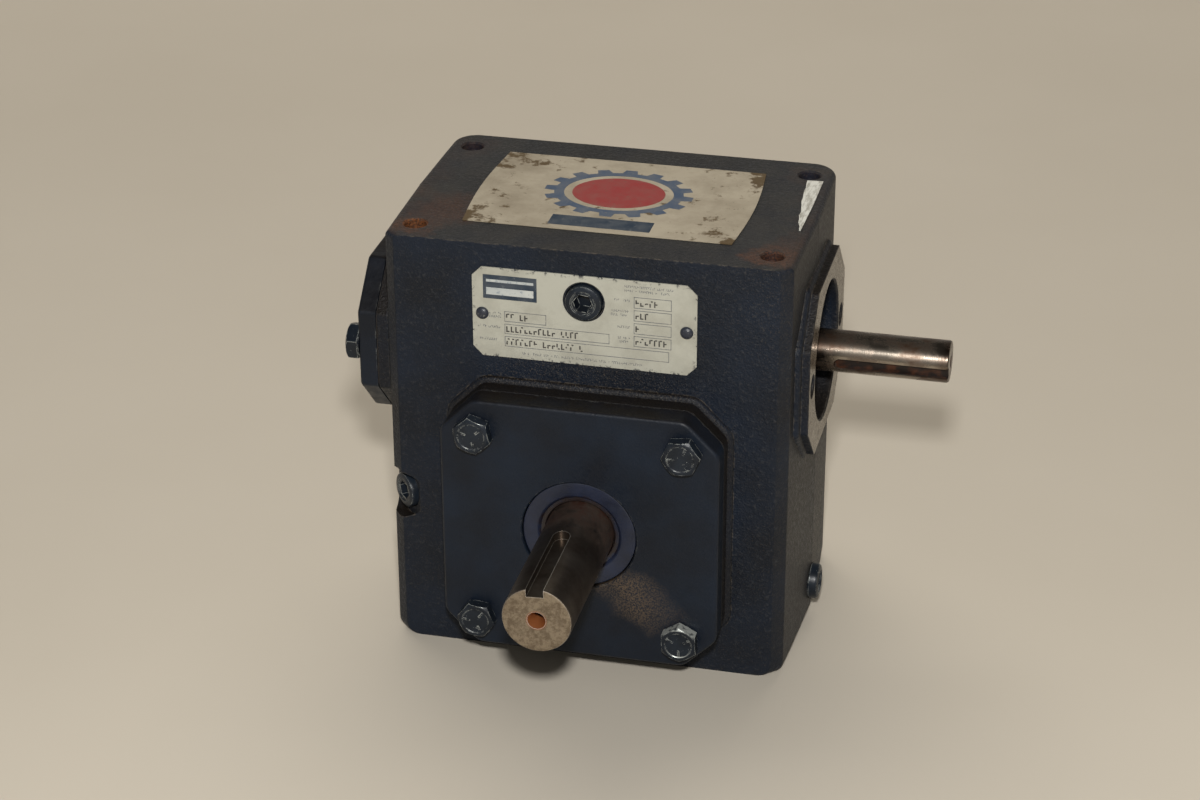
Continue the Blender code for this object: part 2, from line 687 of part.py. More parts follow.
def make_ball_bearing(prefix, start, axis):
    """A deep-groove ball bearing: outer ring, inner ring, and the balls in their cage."""
    end = start + INPUT_BEARING_WIDTH
    middle = (start + end) / 2
    outer, inner = BEARING_BORE_RADIUS, INPUT_BEARING_INNER + FIT_GAP
    pitch = BALL_PITCH_RADIUS
    groove = BALL_RADIUS + FIT_GAP
    lip = groove * 1.25
    arc = [(0.0022, lip), (groove * 1.04, groove * 0.4), (groove * 1.04, -groove * 0.4),
           (0.0022, -lip)]
    outer_profile = [(outer, end), (outer, start), (pitch + 0.0022, start)]
    outer_profile += [(pitch + r, middle + z) for r, z in reversed(arc)] + [(pitch + 0.0022, end)]
    inner_profile = [(pitch - 0.0022, end)] + [(pitch - r, middle + z) for r, z in arc]
    inner_profile += [(pitch - 0.0022, start), (inner, start), (inner, end)]
    turned(prefix + "_outer_ring", outer_profile, axis, BEARING_STEEL, 20, closed=True)
    turned(prefix + "_inner_ring", inner_profile, axis, BEARING_STEEL, 20, closed=True)
    cage_profile = [(pitch + 0.0014, middle + 0.0024), (pitch + 0.0014, middle - 0.0024),
                    (pitch - 0.0014, middle - 0.0024), (pitch - 0.0014, middle + 0.0024)]
    cage = turned(prefix + "_balls_and_cage", cage_profile, axis, BEARING_STEEL, 16, closed=True)
    join(cage, ball_set(prefix, middle, axis))


def ball_set(prefix, height, axis, count=7):
    mesh = bpy.data.meshes.new(prefix + "_balls")
    body = bmesh.new()
    for x, y in regular_polygon(BALL_PITCH_RADIUS, count):
        bmesh.ops.create_uvsphere(body, u_segments=7, v_segments=4, radius=BALL_RADIUS,
                                  matrix=Matrix.Translation((x, y, height)))
    body.to_mesh(mesh)
    body.free()
    return add_object(prefix + "_balls", mesh, axis)


def make_roller_bearing(prefix, axis):
    """A tapered roller bearing: cup, cone, and the rollers in their cage."""
    end = OUTPUT_BEARING_END
    start = end - OUTPUT_BEARING_WIDTH
    outer, inner = OUTPUT_BEARING_OUTER, OUTPUT_BEARING_INNER + FIT_GAP
    cup = [(outer, end), (outer, start), (0.0274, start), (0.0248, end)]
    cone = [(0.0180, end), (0.0206, start), (inner, start), (inner, end)]
    turned(prefix + "_cup", cup, axis, BEARING_STEEL, 22, closed=True)
    turned(prefix + "_cone", cone, axis, BEARING_STEEL, 20, closed=True)
    cage_profile = [(0.0226, end - 0.0012), (0.0252, start + 0.0012), (0.0230, start + 0.0012),
                    (0.0204, end - 0.0012)]
    cage = turned(prefix + "_rollers_and_cage", cage_profile, axis, BEARING_STEEL, 20, closed=True)
    join(cage, roller_set(prefix, start + 0.0006, end - 0.0006, axis))


def roller_set(prefix, start, end, axis, count=10):
    """Slightly tapered rollers, leaning in step with the cup and the cone."""
    mesh = bpy.data.meshes.new(prefix + "_rollers")
    body = bmesh.new()
    lean = math.atan2(0.0026, OUTPUT_BEARING_WIDTH)
    for number in range(count):
        place = (Matrix.Rotation(2 * math.pi * number / count, 4, "Z")
                 @ Matrix.Translation((0.02270, 0, (start + end) / 2))
                 @ Matrix.Rotation(-lean, 4, "Y"))
        bmesh.ops.create_cone(body, cap_ends=True, segments=5, radius1=0.0030, radius2=0.0030,
                              depth=end - start, matrix=place)
    body.to_mesh(mesh)
    body.free()
    return add_object(prefix + "_rollers", mesh, axis)


def make_retaining_ring():
    """The spring ring that holds the right-hand bearing in its bore."""
    start = RIGHT_BEARING_X + INPUT_BEARING_WIDTH + FIT_GAP
    outline = []
    inset = math.radians(14)
    for radius, angles in ((0.0258, (inset, 2 * math.pi - inset)),
                           (0.0225, (2 * math.pi - inset, inset))):
        for step in range(17):
            angle = angles[0] + (angles[1] - angles[0]) * step / 16
            outline.append((radius * math.cos(angle), radius * math.sin(angle)))
    plate("bearing_retaining_ring", outline, start, start + 0.0015, INPUT_AXIS, BEARING_STEEL)


# Worm and shafts ------------------------------------------------------------------------------------

WHEEL_PITCH_RADIUS = MODULE * TEETH / 2
WORM_PITCH_RADIUS = CENTRE_DISTANCE - WHEEL_PITCH_RADIUS
AXIAL_PITCH = math.pi * MODULE
LEAD = STARTS * AXIAL_PITCH


def worm_tooth_points():
    """One thread in the axial plane: (distance from its middle, radius), side to side."""
    slope = math.tan(PRESSURE_ANGLE)
    half = AXIAL_PITCH / 4 - THINNING
    root, tip = [(half - height * slope, WORM_PITCH_RADIUS + height)
                 for height in (-1.2 * MODULE, MODULE)]
    return [(-root[0], root[1]), (-tip[0], tip[1]), tip, root]


def worm_section(height):
    """The worm's cross-section, turned to where its threads are at this height."""
    points = []
    for start in range(STARTS):
        middle = start * AXIAL_PITCH + AXIAL_PITCH / 2
        for distance, radius in worm_tooth_points():
            turn = (height - OUTPUT_X - middle - distance) / LEAD * 2 * math.pi + math.pi / 2 * 3
            points.append((height, radius * math.cos(turn), INPUT_Z + radius * math.sin(turn)))
    return points


def worm_thread():
    step = LEAD * WORM_SECTION_TURN / (2 * math.pi)
    count = round(WORM_LENGTH / step)
    low = OUTPUT_X - count * step / 2
    return loft("worm_thread", [worm_section(low + i * step) for i in range(count + 1)])


def keyway(name, width, length, depth, radius, end, axis, turn):
    """A milled slot from the shaft's end, with the cutter's round run-out at its inner end."""
    outline = [(end + 0.002, -width / 2), (end + 0.002, width / 2)]
    for step in range(9):
        angle = math.radians(90 + 180 * step / 8)
        outline.append((end - length + width / 2 + width / 2 * math.cos(angle),
                        width / 2 * math.sin(angle)))
    stand = Matrix.Rotation(turn, 4, "Z") @ Matrix(((0, 0, 1, 0), (0, 1, 0, 0), (-1, 0, 0, 0),
                                                    (0, 0, 0, 1)))
    return plate(name, [(-x, y) for x, y in outline], radius - depth, radius + 0.002,
                 axis @ stand)


def make_worm_shaft():
    """The worm and its shaft are one piece, with its input end on the right."""
    worm_half = WORM_LENGTH / 2
    seat = INPUT_BEARING_INNER
    end = INPUT_END
    core = WORM_PITCH_RADIUS - 1.2 * MODULE - 0.0009
    low, high = OUTPUT_X - worm_half, OUTPUT_X + worm_half
    profile = [(0.0, end), (INPUT_RADIUS - 0.0008, end), (INPUT_RADIUS, end - 0.0008),
               (INPUT_RADIUS, INPUT_SEAL_START - 0.001), (seat, INPUT_SEAL_START - 0.001),
               (seat, RIGHT_BEARING_X - FIT_GAP), (seat + 0.0025, RIGHT_BEARING_X - FIT_GAP),
               (seat + 0.0025, high + 0.004), (core, high), (core, low),
               (seat + 0.0025, low - 0.004),
               (seat + 0.0025, LEFT_BEARING_X + INPUT_BEARING_WIDTH + FIT_GAP),
               (seat, LEFT_BEARING_X + INPUT_BEARING_WIDTH + FIT_GAP),
               (seat, LEFT_BEARING_X - 0.003), (seat - 0.001, LEFT_BEARING_X - 0.004),
               (0.0, LEFT_BEARING_X - 0.004)]
    shaft = turned("worm_shaft", profile, INPUT_AXIS, SHAFT_STEEL, 28)
    join(shaft, worm_thread())
    centre = turned("input_centre_hole", [(0.0, end + 0.001), (0.0026, end + 0.001),
                    (0.0022, end - 0.0008), (0.0011, end - 0.0022), (0.0011, end - 0.005),
                    (0.0, end - 0.0055)], INPUT_AXIS, None, 12)
    cut(shaft, keyway("input_keyway", INPUT_KEYWAY_WIDTH, INPUT_KEYWAY_LENGTH,
                      INPUT_KEYWAY_DEPTH, INPUT_RADIUS, end, INPUT_AXIS,
                      INPUT_KEYWAY_ANGLE - math.pi), centre)


def make_output_shaft():
    end = OUTPUT_END
    inner = OUTPUT_BEARING_INNER
    shoulder = OUTPUT_BEARING_END - OUTPUT_BEARING_WIDTH - FIT_GAP
    profile = [(0.0, end), (OUTPUT_RADIUS - 0.0008, end), (OUTPUT_RADIUS, end - 0.0008),
               (OUTPUT_RADIUS, 0.0610), (inner, 0.0600), (inner, shoulder),
               (0.0178, shoulder), (0.0178, 0.0190), (WHEEL_SEAT, 0.0190),
               (WHEEL_SEAT, -0.0186), (0.0160, -0.0186), (0.0160, -shoulder),
               (inner, -shoulder), (inner, -0.0590), (inner - 0.0008, -0.0598), (0.0, -0.0598)]
    shaft = turned("output_shaft", profile, OUTPUT_AXIS, SHAFT_STEEL, 32)
    centre = turned("output_centre_hole", [(0.0, end + 0.001), (0.0040, end + 0.001),
                    (0.0032, end - 0.0008), (0.0017, end - 0.0034), (0.0017, end - 0.008),
                    (0.0, end - 0.009)], OUTPUT_AXIS, None, 16)
    slot = keyway("output_keyway", OUTPUT_KEYWAY_WIDTH, OUTPUT_KEYWAY_LENGTH,
                  OUTPUT_KEYWAY_DEPTH, OUTPUT_RADIUS, end, OUTPUT_AXIS,
                  math.radians(90) + OUTPUT_KEYWAY_ANGLE)
    room = block("wheel_key_seat",
                 (-KEY_HALF_WIDTH - FIT_GAP, -KEY_HALF_LENGTH - FIT_GAP, KEY_LOW - FIT_GAP),
                 (KEY_HALF_WIDTH + FIT_GAP, KEY_HALF_LENGTH + FIT_GAP, KEY_HIGH + 0.0001))
    room.location = (OUTPUT_X, 0, OUTPUT_Z)
    cut(shaft, centre, slot, room)


def tooth_half_angle(radius):
    """Half the angle that a wheel tooth takes up at this radius (an involute above its base)."""
    base = WHEEL_PITCH_RADIUS * math.cos(PRESSURE_ANGLE)
    at_pitch = math.pi / (2 * TEETH) - THINNING / WHEEL_PITCH_RADIUS
    roll = math.acos(base / max(radius, base))
    return (at_pitch + math.tan(PRESSURE_ANGLE) - PRESSURE_ANGLE
            - (math.tan(roll) - roll))


def wheel_section(depth):
    """The toothed outline at this distance from the middle, turned by the teeth's slant."""
    slant = LEAD / (2 * math.pi) / WORM_PITCH_RADIUS / WHEEL_PITCH_RADIUS
    heights = (-1.2 * MODULE, 0.0, MODULE)
    radii = [WHEEL_PITCH_RADIUS + height for height in heights]
    points = []
    for tooth in range(TEETH):
        middle = math.pi / 2 - 2 * math.pi * tooth / TEETH - depth * slant
        flank = [(middle + tooth_half_angle(radius), radius) for radius in radii]
        other = [(2 * middle - angle, radius) for angle, radius in reversed(flank)]
        for angle, radius in flank + other:
            points.append((radius * math.cos(angle), depth, radius * math.sin(angle)))
    return points


def make_worm_wheel():
    """A bronze toothed rim pressed on an iron hub, keyed to the output shaft."""
    centre = Matrix.Translation((OUTPUT_X, 0, OUTPUT_Z))
    depths = [WHEEL_WIDTH * (i / (WHEEL_SECTIONS - 1) - 0.5) for i in range(WHEEL_SECTIONS)]
    rim = loft("worm_wheel_rim", [wheel_section(depth) for depth in depths], centre,
               BRONZE)
    cut(rim, rod("rim_bore", RIM_BORE, -0.02, 0.02, OUTPUT_AXIS, None, 28))
    hub_profile = [(HUB_FLANGE, 0.0185), (HUB_FLANGE, 0.0112), (RIM_BORE - FIT_GAP, 0.0108),
                   (RIM_BORE - FIT_GAP, -0.0108), (HUB_FLANGE, -0.0112), (HUB_FLANGE, -0.0183),
                   (WHEEL_SEAT + FIT_GAP, -0.0183), (WHEEL_SEAT + FIT_GAP, 0.0185)]
    hub = turned("worm_wheel_hub", hub_profile, OUTPUT_AXIS, CAST_IRON, 28, closed=True)
    slot = block("hub_keyway", (-KEY_HALF_WIDTH - FIT_GAP, -0.030, KEY_LOW - 0.0005),
                 (KEY_HALF_WIDTH + FIT_GAP, 0.030, KEY_HIGH + 0.0004))
    slot.location = centre.translation
    cut(hub, slot)
    key = block("worm_wheel_key", (-KEY_HALF_WIDTH, -KEY_HALF_LENGTH, KEY_LOW),
                (KEY_HALF_WIDTH, KEY_HALF_LENGTH, KEY_HIGH), SHAFT_STEEL)
    key.location = centre.translation


# Everything ------------------------------------------------------------------------------------------

def make_seals():
    face = PAD_FACE + GASKET + 2 * SHEET_GAP + COVER_THICKNESS
    make_oil_seal("output_oil_seal", OUTPUT_RADIUS, SEAL_RADIUS, OUTPUT_BEARING_END + 0.0010,
                  face - SEAL_RECESS, OUTPUT_AXIS, 32)
    make_oil_seal("input_oil_seal", INPUT_RADIUS, BEARING_BORE_RADIUS, INPUT_SEAL_START,
                  INPUT_SEAL_END, INPUT_AXIS, 32)


def make_bearings():
    make_ball_bearing("input_bearing_right", RIGHT_BEARING_X, INPUT_AXIS)
    make_ball_bearing("input_bearing_left", LEFT_BEARING_X, INPUT_AXIS)
    rear_axis = Matrix.Translation((OUTPUT_X, 0, OUTPUT_Z)) @ TO_BACK
    make_roller_bearing("output_bearing_front", OUTPUT_AXIS)
    make_roller_bearing("output_bearing_rear", rear_axis)


def main():
    make_housing()
    make_cover("front_cover", -1, through=True)
    make_cover("rear_cover", 1, through=False)
    make_cover_gasket("front_cover_gasket", -1)
    make_cover_gasket("rear_cover_gasket", 1)
    make_end_cap()
    make_cover_bolts()
    make_cap_bolts()
    make_plug("fill_plug", FILL_PLUG, 0.0130)
    make_plug("drain_plug", DRAIN_PLUG, 0.0130)
    make_plug("level_plug", LEVEL_PLUG, 0.0090)
    make_nameplate()
    make_drive_screw("drive_screw_left", -DRIVE_SCREW_X)
    make_drive_screw("drive_screw_right", DRIVE_SCREW_X)
    make_top_label()
    make_label_remnant()
    make_seals()
    make_bearings()
    make_retaining_ring()
    make_worm_shaft()
    make_output_shaft()
    make_worm_wheel()


main()
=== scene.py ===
"""A worn worm gear reducer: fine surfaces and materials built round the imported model.

Lengths are in metres, in the model's own frame: +X towards the input shaft, -Y towards
the output shaft, +Z up, with the origin in the middle of the foot face.
"""
import json
import math
import random

import bmesh
import bpy
from mathutils import Euler, Matrix, Vector


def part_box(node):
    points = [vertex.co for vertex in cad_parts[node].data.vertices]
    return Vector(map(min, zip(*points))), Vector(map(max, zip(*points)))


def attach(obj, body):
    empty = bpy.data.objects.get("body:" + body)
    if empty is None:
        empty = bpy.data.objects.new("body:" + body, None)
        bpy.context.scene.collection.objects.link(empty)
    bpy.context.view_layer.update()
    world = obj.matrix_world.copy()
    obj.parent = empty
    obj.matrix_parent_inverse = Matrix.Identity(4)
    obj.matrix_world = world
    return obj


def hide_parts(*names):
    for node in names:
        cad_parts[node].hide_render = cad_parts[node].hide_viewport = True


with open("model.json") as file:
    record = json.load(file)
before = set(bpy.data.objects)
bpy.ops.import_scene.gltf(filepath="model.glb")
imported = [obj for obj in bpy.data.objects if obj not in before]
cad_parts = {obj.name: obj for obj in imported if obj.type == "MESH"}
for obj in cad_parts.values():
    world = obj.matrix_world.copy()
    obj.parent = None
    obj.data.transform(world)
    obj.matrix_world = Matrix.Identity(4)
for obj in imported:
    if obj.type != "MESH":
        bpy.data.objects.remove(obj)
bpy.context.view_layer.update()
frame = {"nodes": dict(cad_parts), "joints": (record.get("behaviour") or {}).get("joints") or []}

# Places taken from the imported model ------
JOINT_PLACES = {joint["name"]: Vector(joint["pos_m"]) for joint in frame["joints"]}
OUTPUT = JOINT_PLACES["output_shaft_spin"]
INPUT = JOINT_PLACES["input_shaft_spin"]
CASE_LOW, CASE_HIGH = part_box("housing")
HEIGHT = CASE_HIGH.z
COVER_FACE = -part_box("front_cover")[0].y
OUTPUT_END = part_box("output_shaft")[0].y
WORM_LOW, WORM_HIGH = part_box("worm_shaft")
INPUT_START, INPUT_END = WORM_LOW.x, WORM_HIGH.x

# Housing ---------------------------------
HALF_WIDTH = 0.07525
HALF_DEPTH = 0.0505
FRONT_CHAMFER = 0.0046
BACK_RADIUS = 0.0070
FOOT_RADIUS = 0.0050
CROWN_RADIUS = 0.0026
DRAFT_BULGE = 0.0025
CROWN_BULGE = 0.0008
DRAFT_TOP = 0.105
WALL = 0.0085
SIDE_WALL = 0.0105
CHAMBER_TOP = 0.080
WORM_CHAMBER = ((-0.034, -0.028, 0.078), (0.038, 0.028, 0.153))
MOUNT_HOLE = (0.066, 0.0387)
MOUNT_HOLE_RADIUS = 0.0042
MOUNT_HOLE_DEPTH = 0.018

# Bosses, pads and covers -----------------
BOSS_HALF_WIDTH = 0.0390
RIGHT_BOSS_HALF_HEIGHT = 0.0330
LEFT_BOSS_HALF_HEIGHT = 0.0315
BOSS_CUT = 0.0165
BEARING_BORE = 0.0263
CAP_HALF_WIDTH = 0.0385
CAP_HALF_HEIGHT = 0.0310
CAP_BOLT_Y = 0.0320
COVER_HALF_WIDTH = 0.0520
COVER_HALF_HEIGHT = 0.0510
COVER_CUT = 0.0125
COVER_CORNER_RADIUS = 0.0060
COVER_BOLT = 0.0387
COVER_OPENING = 0.0430
SEAL_BORE = 0.0216
COVER_SPIGOT = 0.0425
COVER_BEARING_SEAT = 0.0313
COVER_HOLE = 0.0043
CAP_SPIGOT = (0.0255, 0.0215)                   # outer and inner radius

# Shafts, seals and seats ---------------
INPUT_RADIUS = 0.0079375
INPUT_SEAT = 0.0100
INPUT_SHOULDER = 0.0125
INPUT_KEYWAY = (0.0047625, 0.0425, 0.0025)      # width, length, depth
INPUT_KEYWAY_TURN = math.radians(-75)
OUTPUT_RADIUS = 0.0127
OUTPUT_SEAT = 0.0150
OUTPUT_SHOULDER = 0.0178
OUTPUT_BEARING = 0.0442                         # its inner end, from the middle
OUTPUT_KEYWAY = (0.00635, 0.0420, 0.0034)
OUTPUT_KEYWAY_TURN = math.radians(93)
WHEEL_SEAT = 0.0170
WHEEL_SHOULDER = 0.0160
WHEEL_SEAT_ENDS = (0.0190, -0.0186)
KEY_SEAT = ((-0.0033, -0.0153, 0.0132), (0.0033, 0.0153, 0.0200))
OUTPUT_SEAL_RADIUS = 0.0213
INPUT_SEAL_RADIUS = 0.0260
TUBE_RADIUS = 0.0310
GASKET_ROOM = 0.0006

# Worm ----------------------------------
MODULE = 0.00303
TEETH = 25
STARTS = 5
THINNING = 0.00014
PRESSURE_ANGLE = math.radians(20)
WORM_LENGTH = 0.052
WORM_STEPS = 48
AXIAL_PITCH = math.pi * MODULE
LEAD = STARTS * AXIAL_PITCH
WORM_PITCH_RADIUS = INPUT.z - OUTPUT.z - MODULE * TEETH / 2

# Fasteners and fittings ------------------
BOLT_ACROSS_FLATS = 0.0127
BOLT_HEAD = 0.0054
BOLT_HOLE = 0.0042
BOLT_RADIUS = 0.0039
BOLT_LENGTH = 0.0216
BOLT_TURNS = (0.20, 0.62, 0.05, 0.40)
PLUG_RADIUS = 0.00685
PLUG_SOCKET_ACROSS = 0.00635
LEVEL_POCKET = 0.0100
DRIVE_SCREW_HEAD = (0.0024, 0.0013)             # radius, height
DRIVE_SCREW_HOLE = 0.0014
FIT_GAP = 0.0003

# Directions: the turn that lays a piece's own +Z along each way ------
TO_RIGHT = Euler((0, math.radians(90), 0)).to_matrix().to_4x4()
TO_LEFT = Euler((0, math.radians(-90), 0)).to_matrix().to_4x4()
TO_FRONT = Euler((math.radians(90), 0, 0)).to_matrix().to_4x4()
TO_BACK = Euler((math.radians(-90), 0, 0)).to_matrix().to_4x4()
TO_FOOT = Matrix.Rotation(math.radians(180), 4, "X")
UP = Matrix.Identity(4)
INPUT_AXIS = Matrix.Translation(INPUT) @ TO_RIGHT
OUTPUT_AXIS = Matrix.Translation(OUTPUT) @ TO_FRONT


# Shape tools -----------------------------

def add_object(name, mesh):
    obj = bpy.data.objects.new(name, mesh)
    bpy.context.scene.collection.objects.link(obj)
    return obj


def from_bmesh(name, body, matrix=UP):
    """Makes an object whose mesh already stands in its place in the model."""
    bmesh.ops.transform(body, matrix=matrix, verts=body.verts)
    bmesh.ops.recalc_face_normals(body, faces=body.faces)
    mesh = bpy.data.meshes.new(name)
    body.to_mesh(mesh)
    body.free()
    return add_object(name, mesh)


def box(name, low, high):
    low, high = Vector(low), Vector(high)
    body = bmesh.new()
    bmesh.ops.create_cube(body, size=1)
    bmesh.ops.scale(body, vec=high - low, verts=body.verts)
    return from_bmesh(name, body, Matrix.Translation((low + high) / 2))


def rod(name, radius, start, end, axis, segments=64, turn=0.0):
    body = bmesh.new()
    bmesh.ops.create_cone(body, cap_ends=True, segments=segments, radius1=radius,
                          radius2=radius, depth=end - start)
    place = Matrix.Translation((0, 0, (start + end) / 2)) @ Matrix.Rotation(turn, 4, "Z")
    return from_bmesh(name, body, axis @ place)


def turned(name, profile, axis, steps=96, closed=False):
    """Spins (radius, height) points about the axis frame's +Z."""
    body = bmesh.new()
    points = [body.verts.new((radius, 0, height)) for radius, height in profile]
    pairs = list(zip(points, points[1:]))
    if closed:
        pairs.append((points[-1], points[0]))
    edges = [body.edges.new(pair) for pair in pairs]
    bmesh.ops.spin(body, geom=points + edges, cent=(0, 0, 0), axis=(0, 0, 1),
                   angle=2 * math.pi, steps=steps, use_merge=True)
    bmesh.ops.remove_doubles(body, verts=body.verts, dist=0.000001)
    return from_bmesh(name, body, axis)


def loft(name, sections, matrix=UP):
    """A closed skin over rings of points, each ring with the same count."""
    body = bmesh.new()
    rings = [[body.verts.new(point) for point in section] for section in sections]
    count = len(rings[0])
    for low, high in zip(rings, rings[1:]):
        for i in range(count):
            j = (i + 1) % count
            body.faces.new((low[i], low[j], high[j], high[i]))
    body.faces.new(list(reversed(rings[0])))
    body.faces.new(rings[-1])
    return from_bmesh(name, body, matrix)


def combine(obj, operation, others):
    """Cuts or joins solids one after another, and keeps only the result."""
    for other in others:
        modifier = obj.modifiers.new(other.name, "BOOLEAN")
        modifier.operation = operation
        modifier.solver = "EXACT"
        modifier.object = other
        depsgraph = bpy.context.evaluated_depsgraph_get()
        result = bpy.data.meshes.new_from_object(obj.evaluated_get(depsgraph))
        obj.modifiers.clear()
        obj.data = result
        bpy.data.objects.remove(other)
        clean(obj)


def clean(obj):
    """Welds the slivers that a cut can leave."""
    body = bmesh.new()
    body.from_mesh(obj.data)
    bmesh.ops.remove_doubles(body, verts=body.verts, dist=0.000002)
    bmesh.ops.dissolve_degenerate(body, edges=body.edges, dist=0.000002)
    body.to_mesh(obj.data)
    body.free()


def cut(obj, *others):
    combine(obj, "DIFFERENCE", others)


def join(obj, *others):
    combine(obj, "UNION", others)


def outline(half_width, half_height, corner, radius=0.0, inset=0.0, steps=4):
    """A rectangle with its corners cut at 45 degrees, drawn in by inset, its bends rounded."""
    x = half_width - inset
    y = half_height - inset
    c = corner - inset * (2 - math.sqrt(2))
    sharp = [(x, y - c), (x - c, y), (c - x, y), (-x, y - c),
             (-x, c - y), (c - x, -y), (x - c, -y), (x, c - y)]
    bend = max(radius - inset, 0.0003)
    points = []
    for i, corner_point in enumerate(sharp):
        here = Vector(corner_point)
        to_last = (Vector(sharp[i - 1]) - here).normalized()
        to_next = (Vector(sharp[(i + 1) % 8]) - here).normalized()
        half = to_last.angle(to_next) / 2
        centre = here + (to_last + to_next).normalized() * bend / math.sin(half)
        first = here + to_last * bend / math.tan(half) - centre
        swing = first.angle_signed(here + to_next * bend / math.tan(half) - centre)
        for step in range(steps + 1):
            point = centre + Matrix.Rotation(-swing * step / steps, 2) @ first
            points.append((point.x, point.y))
    return points


def rounded_steps(radius, steps=5):
    """(inset, drop) pairs round a convex edge, from its side to its face."""
    angles = [math.radians(90) * step / steps for step in range(steps + 1)]
    return [(radius * (1 - math.cos(angle)), radius * (1 - math.sin(angle))) for angle in angles]


def raised_plate(name, shape, start, end, edge, root=0.0, matrix=UP):
    """A plate on a wall: a concave root at start if root is given, and a rounded face edge at end."""
    rings = []
    if root:
        rings.append((start - 0.002, -root))
        for inset, drop in rounded_steps(root):
            rings.append((start + root - drop, inset - root))
    else:
        rings.append((start, 0.0))
    for inset, drop in rounded_steps(edge):
        rings.append((end - drop, inset))
    sections = [[(x, y, height) for x, y in outline(*shape, inset=inset)]
                for height, inset in rings]
    return loft(name, sections, matrix)


def regular_polygon(radius, count, turn=0.0):
    step = 2 * math.pi / count
    return [(radius * math.cos(turn + i * step), radius * math.sin(turn + i * step))
            for i in range(count)]


def settle(obj, body, material, replaced=(), angle=32):
    """Gives a finished shape its shading, its body and its material."""
    obj.data.materials.clear()
    obj.data.materials.append(material)
    obj.data.shade_smooth()
    obj.data.set_sharp_from_angle(angle=math.radians(angle))
    weighted = obj.modifiers.new("weighted_normals", "WEIGHTED_NORMAL")
    weighted.keep_sharp = True
    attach(obj, body)
    if replaced:
        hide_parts(*replaced)
    return obj


# Material tools --------------------------

class Graph:
    """The nodes of one material, made and linked in short calls."""

    def __init__(self, name):
        self.material = bpy.data.materials.new(name)
        self.material.use_nodes = True
        self.tree = self.material.node_tree
        self.shader = self.tree.nodes["Principled BSDF"]
        self.place = self.tree.nodes.new("ShaderNodeTexCoord").outputs["Object"]
        self.normal = self.tree.nodes.new("ShaderNodeNewGeometry").outputs["Normal"]
        parts = self.node("SeparateXYZ", {"Vector": self.place})
        self.x, self.y, self.z = parts.outputs

    def node(self, kind, inputs, **settings):
        made = self.tree.nodes.new("ShaderNode" + kind)
        for key, value in settings.items():
            setattr(made, key, value)
        for key, value in inputs.items():
            self.feed(made.inputs[key], value)
        return made

    def feed(self, socket, value):
        if isinstance(value, bpy.types.NodeSocket):
            self.tree.links.new(value, socket)
        else:
            socket.default_value = value

    def math(self, operation, first, second=0.0):
        return self.node("Math", {0: first, 1: second}, operation=operation).outputs[0]

    def times(self, first, second):
        return self.math("MULTIPLY", first, second)

    def plus(self, first, second):
        return self.math("ADD", first, second)

    def minus(self, first, second):
        return self.math("SUBTRACT", first, second)

    def most(self, first, second):
        return self.math("MAXIMUM", first, second)

    def size(self, value):
        return self.math("ABSOLUTE", value)

    def noise(self, scale, detail=4.0, roughness=0.55, place=None):
        made = self.node("TexNoise", {"Vector": place or self.place, "Scale": scale,
                                      "Detail": detail, "Roughness": roughness})
        return made.outputs[0]

    def stretch(self, x, y, z):
        made = self.node("VectorMath", {0: self.place, 1: (x, y, z)}, operation="MULTIPLY")
        return made.outputs[0]

    def fade(self, value, start, stop, low=0.0, high=1.0):
        """Runs from low at start to high at stop, and holds outside them."""
        made = self.node("MapRange", {"Value": value, "From Min": start, "From Max": stop,
                                      "To Min": low, "To Max": high})
        return made.outputs["Result"]

    def mix(self, share, first, second):
        made = self.node("Mix", {}, data_type="RGBA")
        self.feed(made.inputs[0], share)
        self.feed(made.inputs[6], first if isinstance(first, bpy.types.NodeSocket) else (*first, 1))
        self.feed(made.inputs[7], second if isinstance(second, bpy.types.NodeSocket) else (*second, 1))
        return made.outputs[2]

    def facing(self, axis):
        """How far the surface faces along one axis, from -1 to 1."""
        return self.node("SeparateXYZ", {"Vector": self.normal}).outputs[axis]

    def edges(self, radius, start=0.985, stop=0.86):
        """1 along edges and corners, 0 on flat ground."""
        soft = self.node("Bevel", {"Radius": radius}, samples=6).outputs["Normal"]
        made = self.node("VectorMath", {0: soft, 1: self.normal}, operation="DOT_PRODUCT")
        return self.fade(made.outputs["Value"], start, stop)

    def distance(self, first, second):
        """The length of a two-part offset."""
        squares = self.plus(self.times(first, first), self.times(second, second))
        return self.math("SQRT", squares)

    def from_line(self, x, z):
        """The distance from a line along Y that passes through (x, z)."""
        return self.distance(self.minus(self.x, x), self.minus(self.z, z))

    def bump(self, height, distance, strength=1.0, normal=None):
        made = self.node("Bump", {"Height": height, "Distance": distance, "Strength": strength})
        if normal:
            self.feed(made.inputs["Normal"], normal)
        return made.outputs["Normal"]

    def finish(self, colour, roughness, metallic=0.0, normal=None, **constants):
        if not isinstance(colour, bpy.types.NodeSocket):
            colour = (*colour, 1)
        self.feed(self.shader.inputs["Base Color"], colour)
        self.feed(self.shader.inputs["Roughness"], roughness)
        self.feed(self.shader.inputs["Metallic"], metallic)
        if normal:
            self.feed(self.shader.inputs["Normal"], normal)
        for key, value in constants.items():
            self.shader.inputs[key.replace("_", " ")].default_value = value
        return self.material


# Colours ---------------------------------
NAVY = (0.0064, 0.0112, 0.0215)
NAVY_DARK = (0.0046, 0.0068, 0.0115)
# A pale dust colour, also used as a painted highlight along the root of the front seat.
DUST_AND_GLINT = (0.085, 0.068, 0.050)
# A dark brown used for soil and also as painted shade on the flanks of the seats and bosses.
SOIL_AND_SHADE = (0.0085, 0.0060, 0.0040)
RUST = (0.170, 0.062, 0.022)
RUST_DARK = (0.045, 0.020, 0.011)
# Bare iron warmed and lightened by a painted reflection of the pale floor.
BARE_IRON_AND_REFLECTION = (0.165, 0.140, 0.110)
PAINT_CHIP = (0.40, 0.42, 0.40)


